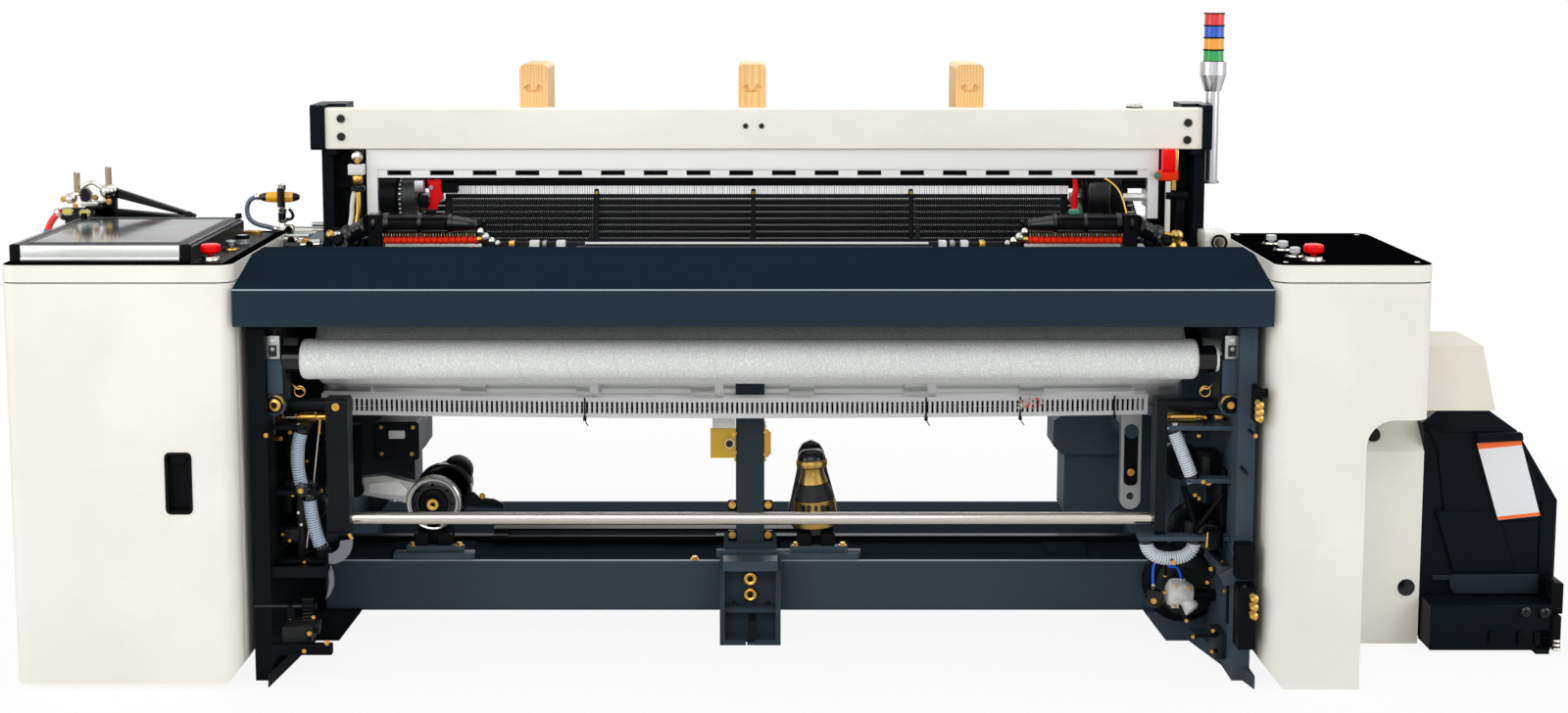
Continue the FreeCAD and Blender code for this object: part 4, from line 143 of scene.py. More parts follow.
# %% [markdown]
# A finish is a small tree of nodes. Written by hand that is long, so two helpers do it. `Finish` makes any node from
# its type, its settings and its inputs. `Amount` wraps a socket that carries a number, so that masks and bumps can be
# written as sums: `0.4 + 0.2 * speckle` adds the Math nodes by itself.

# %% Node helpers


class Amount:
    """A number that changes over the surface; arithmetic on it adds Math nodes."""

    def __init__(self, finish, socket):
        self.finish = finish
        self.socket = socket

    def math(self, operation, *values):
        return self.finish.add("ShaderNodeMath", {"operation": operation}, *values)

    def __add__(self, other):
        return self.math("ADD", self, other)

    def __mul__(self, other):
        return self.math("MULTIPLY", self, other)

    def __sub__(self, other):
        return self.math("SUBTRACT", self, other)

    def __rsub__(self, other):
        return self.math("SUBTRACT", other, self)

    __radd__ = __add__
    __rmul__ = __mul__

    def above(self, level):
        return self.math("GREATER_THAN", self, level)

    def below(self, level):
        return self.math("LESS_THAN", self, level)

    def within(self, middle, half):
        """1 where this number lies within half of middle."""
        return self.math("ABSOLUTE", self - middle).below(half)

    def smooth(self, low, high):
        return self.finish.add("ShaderNodeMapRange", {"interpolation_type": "SMOOTHSTEP"}, self, low, high, 0.0, 1.0)


class Finish:
    """One material, with a short way to add its nodes."""

    def __init__(self, name):
        self.material = bpy.data.materials.new(name)
        self.material.use_nodes = True
        self.tree = self.material.node_tree
        self.shader = self.tree.nodes["Principled BSDF"]
        self.place = self.add("ShaderNodeTexCoord", {}, output="Object")

    def add(self, kind, settings, *values, output=0, **named):
        """Adds a node of this kind; values fill its inputs in order and named ones by name."""
        node = self.tree.nodes.new(kind)
        for key, value in settings.items():
            if key == "stops":
                ramp = node.color_ramp
                ramp.interpolation = settings["blend"]
                while len(ramp.elements) < len(value):
                    ramp.elements.new(1.0)
                for element, (position, colour) in zip(ramp.elements, value):
                    element.position = position
                    element.color = colour
            elif key != "blend":
                setattr(node, key, value)
        for socket, value in zip(node.inputs, values):
            self.fill(socket, value)
        for key, value in named.items():
            self.fill(node.inputs[key.replace("_", " ")], value)
        return Amount(self, node.outputs[output])

    def fill(self, socket, value):
        if isinstance(value, Amount):
            self.tree.links.new(value.socket, socket)
        else:
            socket.default_value = value

    def set(self, **values):
        """Sets or links the shader's own sockets."""
        for key, value in values.items():
            self.fill(self.shader.inputs[key.replace("_", " ")], value)
        return self

    def stretched(self, x, y, z):
        """The place on the surface, scaled along each axis."""
        return self.add("ShaderNodeVectorMath", {"operation": "MULTIPLY"}, self.place, (x, y, z))

    def axis(self, letter):
        """One coordinate of the place, in metres."""
        return self.add("ShaderNodeSeparateXYZ", {}, self.place, output=letter)

    def noise(self, scale, detail=3.0, vector=None, roughness=0.5):
        return self.add("ShaderNodeTexNoise", {}, vector or self.place, Scale=scale, Detail=detail,
                        Roughness=roughness, output="Fac")

    def cells(self, scale):
        return self.add("ShaderNodeTexVoronoi", {}, self.place, Scale=scale, output="Distance")

    def blend(self, share, first, second):
        """One colour turning into another as share goes from 0 to 1."""
        node = self.tree.nodes.new("ShaderNodeMix")
        node.data_type = "RGBA"
        for number, value in ((0, share), (6, first), (7, second)):
            self.fill(node.inputs[number], value)
        return Amount(self, node.outputs[2])

    def varied(self, share, colour, wander, up=None):
        """A colour that wanders to both sides of its shade."""
        return self.blend(share, tone(colour, 1 - wander), tone(colour, 1 + (wander if up is None else up)))

    def bump(self, height, strength, distance):
        """Puts a bump on the surface, and gives the finished material."""
        bump = self.add("ShaderNodeBump", {}, Strength=strength, Distance=distance, Height=height, output="Normal")
        return self.set(Normal=bump).material


def tone(colour, factor):
    """The same colour, darker or lighter."""
    return tuple(min(1.0, channel * factor) for channel in colour[:3]) + (1.0,)


def measure(word):
    """A word of a table as a number, or as a tuple where it has commas."""
    if "," in word:
        return tuple(measure(part) for part in word.split(","))
    return float(word) if "." in word else int(word)


FINISHES = {}


def finishes_from(make, table):
    """Makes one finish for each line of a table: its short name, its full name, its screen colour and its settings."""
    for line in table.strip().splitlines():
        name, full_name, colour, *settings = line.split()
        pairs = [setting.split("=") for setting in settings]
        FINISHES[name] = make(full_name, srgb(*measure(colour)), **{key: measure(word) for key, word in pairs})


# %% [markdown]
# Most of a loom is painted steel. Powder paint has a soft orange-peel surface and very even colour, while the castings
# underneath are rougher, with a little dust on the faces that look up. One function makes both: the grain's size and
# height, and how much the shade wanders, are what differ.

# %% Painted metal


def paint(name, colour, roughness=0.42, peel=260.0, height=0.00006, wander=0.05, coat=0.0, dust=None, shine=0.5):
    finish = Finish(name)
    cloud = finish.noise(3.1, 4.0)
    fine = finish.noise(peel, 2.0)
    shade = finish.varied(cloud.smooth(0.3, 0.7), colour, wander)
    if dust:
        upward = finish.add("ShaderNodeSeparateXYZ", {}, finish.add("ShaderNodeNewGeometry", {}, output="Normal"),
                            output="Z")
        grime = finish.noise(37.0, 6.0, roughness=0.7).smooth(0.46, 0.78) * upward.smooth(0.2, 0.95)
        shade = finish.blend(grime * 0.5, shade, srgb(*dust))
    finish.set(Base_Color=shade, Roughness=roughness - 0.06 + 0.12 * fine, Coat_Weight=coat, Coat_Roughness=0.18,
               Specular_IOR_Level=shine)
    return finish.bump(fine + 0.35 * finish.noise(peel * 3.1, 1.0), 0.35, height)


# Two copies of the cream paint differ only in brightness: a lighter one on the top beam as painted light, and a darker
# one on the upper side box as painted shade.
finishes_from(paint, """
cream cream_powder_paint 234,232,223 roughness=0.4 coat=0.06
cream_beam cream_beam_paint 246,243,233 roughness=0.4 coat=0.06
cream_side cream_side_paint 222,217,205
navy navy_powder_paint 55,65,73 roughness=0.36 shine=0.0
slate slate_painted_plate 64,76,86 roughness=0.36 peel=240 shine=0.05
dark_slate dark_slate_plate 38,45,53 roughness=0.36 peel=240 shine=0.05
frame_slate slate_frame_paint 64,75,85 peel=150 height=0.0003 wander=0.1 shine=0.05
casting painted_casting 15,19,22 peel=150 height=0.00035 wander=0.22 dust=34,37,38 shine=0.1
soot black_machine_paint 12,14,17 roughness=0.34 peel=180 height=0.0002 wander=0.2 shine=0.05
gloss black_gloss_paint 10,12,15 roughness=0.2 peel=120 height=0.00005 wander=0.12 coat=0.12 shine=0.3
worn worn_black_paint 30,32,33 roughness=0.44 peel=90 height=0.0004 wander=0.3 dust=90,84,66 shine=0.15
satin black_satin_paint 13,19,24 roughness=0.36 peel=240 shine=0.05
yellow yellow_zinc 214,172,34 roughness=0.34 peel=90 wander=0.16
red_paint red_enamel 252,14,20 roughness=0.3 peel=200 coat=0.06 shine=0.2
notice blank_white_film 228,229,232 roughness=0.4 peel=300 height=0.00002 wander=0.02
orange_band orange_film 252,104,8 roughness=0.4 peel=300 height=0.00002 wander=0.06
""")

# %% [markdown]
# Bare metal shows how it was made. Turned bars carry fine rings, drawn and extruded ones carry long lines, and cast or
# sheet parts a faint cloudiness. A stretched noise gives all of these: the axis along which it is stretched is the
# direction of the lines.

# %% Bare metal


def bare_metal(name, colour, roughness, stretch, spread=0.12, height=0.00002):
    finish = Finish(name)
    streak = finish.noise(1.0, 4.0, finish.stretched(*stretch))
    cloud = finish.noise(6.0, 3.0)
    finish.set(Base_Color=finish.varied(streak, colour, spread, spread * 0.5), Metallic=1.0,
               Roughness=roughness - 0.08 + 0.1 * streak + 0.07 * cloud)
    return finish.bump(streak, 0.3, height)


finishes_from(bare_metal, """
aluminium brushed_aluminium 214,216,214 roughness=0.36 stretch=6,900,900
cast cast_aluminium 178,180,178 roughness=0.42 stretch=240,240,240 height=0.00012
steel machined_steel 150,152,152 roughness=0.32 stretch=6,900,900
chrome polished_bar 206,200,190 roughness=0.16 stretch=700,8,8 spread=0.06
dark_steel blackened_steel 52,53,55 roughness=0.4 stretch=300,300,300
drawn_tube drawn_tube 222,224,227 roughness=0.26 stretch=900,900,6
brass machined_brass 214,170,84 roughness=0.28 stretch=400,60,400
reed_steel dark_reed_steel 70,71,73 roughness=0.4 stretch=900,900,6
pale_rail anodised_rail 232,232,230 roughness=0.5 stretch=6,900,900 spread=0.06
grey_casting grey_casting 118,120,126 roughness=0.42 stretch=240,240,240 height=0.0001
bronze cast_bronze 170,140,78 roughness=0.36 stretch=160,160,160 spread=0.25 height=0.0001
""")

# %% [markdown]
# Plastics are smoother and duller than paint. A moulded black housing has a fine leather-like spark grain; a lamp's
# lens is clear and coloured; glass is a polished black sheet that takes its look from what it reflects.

# %% Plastics and glass


def plastic(name, colour, roughness=0.4, grain=700.0, height=0.00004, coat=0.0, wander=0.06, shine=0.5):
    finish = Finish(name)
    spark = finish.cells(grain)
    cloud = finish.noise(9.0, 3.0)
    finish.set(Base_Color=finish.varied(cloud, colour, wander), Coat_Weight=coat, Coat_Roughness=0.08,
               Roughness=roughness - 0.05 + 0.1 * finish.noise(60.0, 2.0), Specular_IOR_Level=shine)
    return finish.bump(spark, 0.3, height)


# The hose plastic comes in two copies: a darker one, painted shade for the left end's hoses, and a paler, lit one for
# the right end's.
finishes_from(plastic, """
black moulded_black_plastic 17,18,20 roughness=0.34 shine=0.04
gloss_black polished_black_panel 5,5,7 roughness=0.1 grain=40 height=0.000004 shine=0.0
red red_button_plastic 255,3,8 roughness=0.24 grain=300 height=0.00001 coat=0.05 shine=0.15
grey_button grey_button_plastic 206,210,212 roughness=0.26 grain=300 height=0.00001 coat=0.3
clear_dome smoked_lamp_dome 120,126,130 roughness=0.16 grain=200 height=0.00001 coat=0.6
white white_moulding 226,227,224 roughness=0.42
duct pale_duct_plastic 222,223,222 roughness=0.45
orange orange_ring_rubber 246,50,18 roughness=0.5 grain=500 height=0.0001 wander=0.15 shine=0.1
hose translucent_hose 176,190,206 roughness=0.3 grain=260 height=0.00003 coat=0.2
pale_hose pale_hose 214,220,226 roughness=0.3 grain=260 height=0.00003 coat=0.2
hose_groove hose_groove 74,88,106 grain=260 height=0.00003 shine=0.3
rubber black_rubber 13,13,15 roughness=0.5 grain=420 height=0.00008 shine=0.15
dark_rim dark_screen_rim 22,25,29 roughness=0.3 grain=500 shine=0.12
pale_rim grey_screen_rim 92,98,104 roughness=0.34 grain=500 shine=0.4
blue_tube blue_air_tube 6,100,250 roughness=0.28 grain=400 height=0.00002 coat=0.1
red_tube red_weft_tube 232,30,34 roughness=0.28 grain=400 height=0.00002 coat=0.3
grey_cable grey_cable_jacket 88,102,120 roughness=0.36 grain=500 coat=0.2
lemon yellow_green_lens 206,196,74 roughness=0.3 grain=300 height=0.00002 coat=0.3
amber amber_sensor_housing 255,176,10 roughness=0.26 grain=200 height=0.00002 coat=0.4 wander=0.14
sea_green green_moulding 62,118,96 roughness=0.36 grain=300 coat=0.2
thread white_yarn 232,230,224 roughness=0.7 grain=900 height=0.0002
""")

# %% [markdown]
# A few surfaces have a pattern of their own, so each has its own small function. The comb, the left frame and the
# two navy edges also carry painted light and shade.

# %% Special surfaces


TEETH_PER_METRE = 170.0
LENS_FOOT, LENS_STACK = 1.396, 0.120        # where the four lenses start and how high they are, in metres


def ticked_comb(finish):
    """The comb's white strip, with a fine dark tick for each tooth and a faint glow that is painted light, as the strip
    sits in the top beam's shade.
    """
    cloud = finish.noise(150.0, 3.0, finish.stretched(1, 0, 0))
    tick = finish.add("ShaderNodeMath", {"operation": "FRACT"}, finish.axis("X") * TEETH_PER_METRE).below(0.36)
    tick = tick * cloud.smooth(0.2, 0.62)
    colour = finish.blend(tick * 0.8, srgb(252, 253, 255), srgb(40, 42, 46))
    # The emission is painted light that lifts the strip out of the beam's shade.
    finish.set(Base_Color=colour, Roughness=0.36 + 0.2 * cloud, Emission_Color=colour, Emission_Strength=0.2)
    return finish.bump(tick, 0.3, 0.0003)


def oiled_slate(finish):
    """The left frame's slate paint, with painted shade over its front, where the cloth side's gear sits, fading out
    towards the warp side.
    """
    cloud = finish.noise(3.1, 4.0)
    fine = finish.noise(150.0, 2.0)
    # Painted shade: towards the front the frame turns near black.
    unshaded_share = (finish.axis("Y") + 0.1 * cloud).smooth(-0.3, 0.05)
    colour = finish.blend(cloud.smooth(0.3, 0.7), srgb(58, 68, 77), srgb(70, 82, 93))
    finish.set(Base_Color=finish.blend(unshaded_share, srgb(14, 18, 21), colour), Roughness=0.36 + 0.12 * fine,
               Specular_IOR_Level=0.05)
    return finish.bump(fine, 0.35, 0.0003)


def edged_navy(finish, level, base, shaded_top):
    """The navy paint again, with a painted highlight, the pale line of light that a long pressed edge catches, and
    painted shade on the face above the edge.
    """
    edge = finish.axis("Z").within(level, 0.0013)
    cloud = finish.noise(3.1, 4.0)
    colour = finish.varied(cloud.smooth(0.3, 0.7), base, 0.03)
    # Painted shade: the face above the edge takes the darker colour.
    colour = finish.blend(finish.axis("Z").above(level + 0.001), colour, shaded_top)
    finish.set(Base_Color=finish.blend(edge * 0.75, colour, srgb(186, 198, 206)), Roughness=0.34 + 0.05 * cloud,
               Specular_IOR_Level=0.0)
    return finish.bump(finish.noise(260.0, 2.0), 0.35, 0.00006)


def roller_cover(finish):
    """A rough grey covering wound round the roller, with the faint seam of each turn."""
    grit = finish.cells(230.0)
    fine = finish.noise(900.0, 3.0, roughness=0.7)
    cloud = finish.noise(5.0, 4.0)
    turn = finish.add("ShaderNodeMath", {"operation": "FRACT"}, finish.axis("X") * 9.0 + finish.axis("Z") * 2.0)
    seam = turn.below(0.012)
    colour = finish.blend(fine * 0.3 + cloud * 0.2 + grit * 0.6, srgb(172, 176, 176), srgb(246, 247, 244))
    colour = finish.blend(seam * 0.25, colour, srgb(140, 143, 144))
    finish.set(Base_Color=colour, Roughness=0.82 - 0.1 * grit)
    return finish.bump(grit + fine * 0.6 - seam * 0.8, 0.8, 0.0006)


def hardwood(finish):
    """Pale oiled hardwood, with the grain running up each guide."""
    bands = finish.add("ShaderNodeTexWave", {"wave_type": "RINGS", "rings_direction": "Z"},
                       finish.stretched(1.0, 1.0, 0.12), Scale=46.0, Distortion=5.0, Detail=3.0,
                       Detail_Scale=1.6, output="Fac")
    pores = finish.noise(1.0, 4.0, finish.stretched(700, 700, 22))
    cloud = finish.noise(11.0, 3.0)
    colour = finish.blend(bands * 0.55 + pores * 0.3, srgb(252, 206, 136), srgb(214, 150, 82))
    colour = finish.blend(cloud * 0.35, colour, srgb(255, 222, 160))
    finish.set(Base_Color=colour, Roughness=0.46 + 0.16 * pores)
    return finish.bump(pores + bands * 0.4, 0.4, 0.00012)


def lamp_lens(finish):
    """Four coloured lenses in one stack; the height on the pole chooses the colour."""
    level = finish.axis("Z")
    colours = [(0.0, srgb(0, 160, 70)), (0.25, srgb(246, 160, 20)), (0.5, srgb(10, 80, 200)), (0.75, srgb(226, 24, 30))]
    share = (level - LENS_FOOT) * (1 / LENS_STACK)
    colour = finish.add("ShaderNodeValToRGB", {"stops": colours, "blend": "CONSTANT"}, share, output="Color")
    rib = finish.add("ShaderNodeMath", {"operation": "SINE"}, level * 2600.0)
    finish.set(Base_Color=colour, Roughness=0.2 + 0.1 * rib, Emission_Color=colour, Emission_Strength=0.12,
               Coat_Weight=0.6)
    return finish.bump(rib, 0.5, 0.0004)


def display(finish):
    """A dark display behind glass, showing only soft clouds of colour."""
    cloud = finish.noise(7.0, 2.0)
    dim = finish.blend(cloud.smooth(0.35, 0.65), srgb(36, 44, 48), srgb(96, 112, 108))
    warm = finish.noise(4.0, 1.0, finish.stretched(1.0, 2.2, 0.0)).smooth(0.45, 0.62)
    colour = finish.blend(warm * 0.6, dim, srgb(132, 108, 112))
    return finish.set(Base_Color=colour, Roughness=0.08 + 0.05 * cloud, Specular_IOR_Level=0.28).material


for special, full_name in ((roller_cover, "rough_roller_cover"), (ticked_comb, "ticked_white_comb"),
                           (oiled_slate, "front_shaded_slate_frame"), (hardwood, "pale_hardwood"),
                           (lamp_lens, "signal_lens"), (display, "display_glass")):
    FINISHES[special.__name__] = special(Finish(full_name))
# Each navy gets a painted highlight along its pressed edge and a darker colour above it as painted shade.
COVER_EDGE, BEAM_EDGE = 0.9168, 0.1905      # the heights of the two pressed edges, in metres
FINISHES["cover_navy"] = edged_navy(Finish("cover_navy_paint"), COVER_EDGE, srgb(40, 53, 63), srgb(26, 38, 49))
FINISHES["beam_navy"] = edged_navy(Finish("beam_navy_paint"), BEAM_EDGE, srgb(60, 71, 80), srgb(30, 37, 43))

# %% [markdown]
# Each CAD node now gets its finish in its own material slot. The meshes stay as they came: only the slots change.

# %% Finishes on the CAD nodes
# The left side frame's finish carries painted shade over its front.
NODE_FINISHES = """
cream: left_cabinet left_door left_top_rim right_cabinet right_top_rim lower_side_cover
cream_beam: top_beam
cream_side: upper_side_box
navy: breast_beam centre_post centre_foot rear_stay
cover_navy: front_cover
beam_navy: front_stay
soot: weft_guides lever_link connecting_bars warp_stop_rails
casting: drive_stand drive_motor roller_brackets
frame_slate: right_side_frame
oiled_slate: left_side_frame
satin: drive_cover beam_posts
yellow: clamp_plates
red_paint: leno_levers
aluminium: sley
pale_rail: harness_rail
cast: left_jack_lever right_jack_lever
steel: main_shaft back_rest_roller left_start_button
chrome: cloth_shaft
drawn_tube: signal_pole
reed_steel: reed
bronze: centre_jack_lever
brass: brass_fittings nozzle_columns
black: touch_panel left_leno_rotor right_leno_rotor temple_bodies
gloss_black: right_glass_panel
red: left_stop_button right_stop_button
grey_button: right_button_1 right_button_2 right_button_3
duct: cable_duct
orange: left_temple_roller right_temple_roller
hose: hoses
roller_cover: press_roller take_up_roller
hardwood: wooden_guides
lamp_lens: signal_lamps
display: touch_screen
"""
for line in NODE_FINISHES.strip().splitlines():
    finish, names = line.split(": ")
    for name in names.split():
        slots = nodes[name].data.materials
        for number in range(len(slots)):
            slots[number] = FINISHES[finish]
        if not slots:
            slots.append(FINISHES[finish])
print("finishes:", len(FINISHES))

# %% [markdown]
# Every added part is a `Piece`: one mesh made of small bodies, each with its own finish. The bodies come from a few
# functions that start from a bmesh operator and return a small mesh in loom millimetres: a box with broken edges, a
# rod, a turned profile, a rounded plate, a swept tube, a screw. `take` merges a body into the piece, and `done` scales
# the piece to metres and lets it ride on the CAD body that it is fixed to.

# %% Shape helpers
FRONT = (0, -1, 0)
UP = (0, 0, 1)
RIGHT = (1, 0, 0)


def facing(direction, place):
    """A frame whose Z axis points along direction, at that place."""
    return Matrix.Translation(Vector(place)) @ Vector(direction).to_track_quat("Z", "Y").to_matrix().to_4x4()


def move(shape, matrix, points=None):
    bmesh.ops.transform(shape, matrix=matrix, verts=shape.verts if points is None else points)
    return shape


def break_edges(shape, edges, offset, rounds=1, kind="EDGES"):
    if offset:
        bmesh.ops.bevel(shape, geom=edges, offset=offset, segments=rounds, profile=0.5, affect=kind, material=-1)


def thicken(shape, offset):
    """Pulls the faces out by that offset, which makes a sheet a plate."""
    grown = bmesh.ops.extrude_face_region(shape, geom=shape.faces[:])
    moved = [item for item in grown["geom"] if isinstance(item, bmesh.types.BMVert)]
    bmesh.ops.translate(shape, vec=offset, verts=moved)


def box(x, y, z, edge=0.8, rounds=1):
    """A box with broken or rounded edges; x, y and z are its two ends along each axis."""
    shape = bmesh.new()
    middle = Vector([sum(ends) / 2 for ends in (x, y, z)])
    sizes = [abs(ends[1] - ends[0]) for ends in (x, y, z)]
    bmesh.ops.create_cube(shape, size=1.0, matrix=Matrix.Translation(middle) @ Matrix.Diagonal((*sizes, 1)))
    break_edges(shape, shape.edges[:], edge, rounds)
    return shape


def rod(start, end, radius, sides=20, edge=0.7):
    """A round bar between two points."""
    start, end = Vector(start), Vector(end)
    shape = bmesh.new()
    bmesh.ops.create_cone(shape, cap_ends=True, segments=sides, radius1=radius, radius2=radius,
                          depth=(end - start).length)
    rims = [line for line in shape.edges if abs(line.verts[0].co.z - line.verts[1].co.z) < 0.001]
    break_edges(shape, rims, edge)
    return move(shape, facing(end - start, (start + end) / 2))


def turned(profile, direction, place, sides=32):
    """A profile of (along, radius) points turned about an axis that starts at place."""
    shape = bmesh.new()
    points = [shape.verts.new((radius, 0, along)) for along, radius in profile]
    lines = [shape.edges.new(pair) for pair in zip(points, points[1:])]
    bmesh.ops.spin(shape, geom=points + lines, cent=(0, 0, 0), axis=(0, 0, 1), angle=math.tau, steps=sides,
                   use_merge=True, use_duplicate=False)
    bmesh.ops.remove_doubles(shape, verts=shape.verts, dist=0.001)
    return move(shape, facing(direction, place))


def plate(outline, direction, place, thickness, edge=0.8):
    """A flat plate of that (x, z) outline; direction is the way its face looks."""
    shape = bmesh.new()
    shape.faces.new([shape.verts.new((x, 0, z)) for x, z in outline])
    thicken(shape, (0, -thickness, 0))
    break_edges(shape, shape.edges[:], edge)
    return move(shape, facing(direction, place) @ facing(FRONT, (0, 0, 0)).inverted())


def rounded(direction, place, width, height, thickness, corner, edge=0.6, rim=None):
    """A plate with rounded corners standing on place along direction; with rim, only a frame of that width."""
    shape = bmesh.new()
    bmesh.ops.create_grid(shape, x_segments=1, y_segments=1, size=0.5)
    bmesh.ops.scale(shape, vec=(width, height, 1), verts=shape.verts)
    break_edges(shape, shape.verts[:], corner, 5, "VERTICES")
    if rim:
        inner = shape.faces[:]
        bmesh.ops.inset_region(shape, faces=inner, thickness=rim, use_boundary=True)
        bmesh.ops.delete(shape, geom=inner, context="FACES")
    thicken(shape, (0, 0, thickness))
    top = [line for line in shape.edges if all(abs(end.co.z - thickness) < 0.001 for end in line.verts)
           and len({round(side.normal.z, 2) for side in line.link_faces}) > 1]
    break_edges(shape, top, edge)
    return move(shape, facing(direction, place))


def smooth_line(points, finer=10):
    """Points along the smooth line that those control points steer."""
    curve = bpy.data.curves.new("route", "CURVE")
    curve.dimensions = "3D"
    spline = curve.splines.new("NURBS")
    spline.points.add(len(points) - 1)
    for number, place in enumerate(points):
        spline.points[number].co = (*place, 1.0)
    spline.order_u = 3
    spline.use_endpoint_u = True
    spline.resolution_u = finer
    holder = bpy.data.objects.new("route", curve)
    mesh = bpy.data.meshes.new_from_object(holder)
    line = [vertex.co.copy() for vertex in mesh.vertices]
    bpy.data.objects.remove(holder)
    bpy.data.curves.remove(curve)
    bpy.data.meshes.remove(mesh)
    return line


def spaced(line, gap):
    """The same line with points about gap apart."""
    lengths = [0.0]
    for first, second in zip(line, line[1:]):
        lengths.append(lengths[-1] + (second - first).length)
    count = max(1, round(lengths[-1] / gap))
    points, piece = [], 0
    for number in range(count + 1):
        wanted = lengths[-1] * number / count
        while piece < len(line) - 2 and lengths[piece + 1] < wanted:
            piece += 1
        share = (wanted - lengths[piece]) / (lengths[piece + 1] - lengths[piece])
        points.append(line[piece].lerp(line[piece + 1], min(1.0, share)))
    return points


def tube(line, radius, sides=10):
    """A round tube along a line; radius is a number, or a function of the point's number."""
    shape = bmesh.new()
    size = radius if callable(radius) else lambda number: radius
    turn = (line[1] - line[0]).to_track_quat("Z", "Y")
    frames = []
    for number, place in enumerate(line):
        along = line[min(number + 1, len(line) - 1)] - line[max(number - 1, 0)]
        turn = (turn @ Vector((0, 0, 1))).rotation_difference(along.normalized()) @ turn
        frames.append(Matrix.Translation(place) @ turn.to_matrix().to_4x4() @ Matrix.Scale(size(number), 4))
    bmesh.ops.create_circle(shape, cap_ends=False, segments=sides, radius=1.0)
    move(shape, frames[0])
    ring = first = shape.edges[:]
    for before, after in zip(frames, frames[1:]):
        grown = bmesh.ops.extrude_edge_only(shape, edges=ring)["geom"]
        moved = [item for item in grown if isinstance(item, bmesh.types.BMVert)]
        fresh = set(moved)
        ring = [item for item in grown if isinstance(item, bmesh.types.BMEdge)
                and item.verts[0] in fresh and item.verts[1] in fresh]
        move(shape, after @ before.inverted(), moved)
    for loop in (first, ring):
        bmesh.ops.edgeloop_fill(shape, edges=loop)
    return shape


def bent(points, radius, sides=10, gap=None):
    """A tube along the smooth line through those control points."""
    return tube(spaced(smooth_line(points), gap or radius * 1.5), radius, sides)


def coil(direction, centre, ring_radius, wire, sides=8, steps=28):
    """A ring of round wire."""
    shape = bmesh.new()
    bmesh.ops.create_circle(shape, cap_ends=False, segments=sides, radius=wire)
    move(shape, Matrix.Translation((ring_radius, 0, 0)) @ Matrix.Rotation(math.pi / 2, 4, "X"))
    bmesh.ops.spin(shape, geom=shape.verts[:] + shape.edges[:], cent=(0, 0, 0), axis=(0, 0, 1), angle=math.tau,
                   steps=steps, use_merge=True, use_duplicate=False)
    return move(shape, facing(direction, centre))


def socket_screw(direction, place, radius, height=4.0):
    """A screw head with a hexagonal socket, standing on place."""
    shape = rod((0, 0, 0), (0, 0, height), radius, 18, radius * 0.14)
    top = max(shape.faces, key=lambda face: face.calc_center_median().z)
    bmesh.ops.inset_region(shape, faces=[top], thickness=radius * 0.4)
    sunk = bmesh.ops.extrude_discrete_faces(shape, faces=[top])["faces"]
    bmesh.ops.translate(shape, vec=(0, 0, -height * 0.6), verts=list(sunk[0].verts))
    return move(shape, facing(direction, place))


def hexagon_bolt(direction, place, radius, height=6.0):
    """A hexagonal bolt head on its washer."""
    shape = rod((0, 0, 1.4), (0, 0, 1.4 + height), radius, 6, radius * 0.1)
    bmesh.ops.create_cone(shape, cap_ends=True, segments=20, radius1=radius * 1.28, radius2=radius * 1.28,
                          depth=1.4, matrix=Matrix.Translation((0, 0, 0.7)))
    return move(shape, facing(direction, place))


def drum(direction, place, radius, depth):
    """A short dark drum with a rounded shoulder and a sunk middle."""
    profile = [(0, 0), (0, 0.92), (0.15, 1), (0.8, 1), (1, 0.88), (1, 0.6), (0.82, 0.55), (0.82, 0)]
    return turned([(depth * along, radius * share) for along, share in profile], direction, place, 36)


def nut(direction, place, size):
    return hexagon_bolt(direction, place, size * 0.68, size * 0.6)


# %% [markdown]
# Most bodies are listed in tables, as a drawing office lists its parts. An entry is a kind of shape, a finish, and
# then its measures in any order: a word with three numbers is a place, one with two is a range (box) or a point of
# the outline or profile (plate, turn), and a plain number is a size, in the order that the shape's function has.
# FRONT, UP, RIGHT or a word such as `>0,1,0` is the direction, FRONT where none is given. An entry may ask for more
# than one body: a box for every three ranges, a rod for every two places, and other shapes at each place.

# %% Tables of bodies
DIRECTIONS = {"FRONT": FRONT, "UP": UP, "RIGHT": RIGHT}
OUTLINED = {"turn": turned, "plate": plate}
STANDING = {"round": rounded, "coil": coil, "screw": socket_screw, "bolt": hexagon_bolt, "drum": drum, "nut": nut}


def bodies(kind, words, out):
    """The bodies of one entry of a table; where out is -1, the entry is mirrored in x."""
    direction, sizes, pairs, places = FRONT, [], [], []
    for word in words:
        values = DIRECTIONS.get(word) or measure(word.strip(">"))
        if word in DIRECTIONS or word.startswith(">"):
            direction = (out * values[0], *values[1:])
        elif word.count(",") == 2:
            places.append((out * values[0], *values[1:]))
        elif "," in word:
            pairs.append(values)
        else:
            sizes.append(values)
    if kind == "box":
        return [box((out * x[0], out * x[1]), y, z, *sizes) for x, y, z in zip(pairs[::3], pairs[1::3], pairs[2::3])]
    if kind == "rod":
        return [rod(start, end, *sizes) for start, end in zip(places[::2], places[1::2])]
    if kind == "bent":
        return [bent(places, *sizes)]
    if kind in OUTLINED:
        return [OUTLINED[kind](pairs, direction, place, *sizes) for place in places]
    return [STANDING[kind](direction, place, *sizes) for place in places]


KINDS = {"box", "rod", "bent", *OUTLINED, *STANDING}


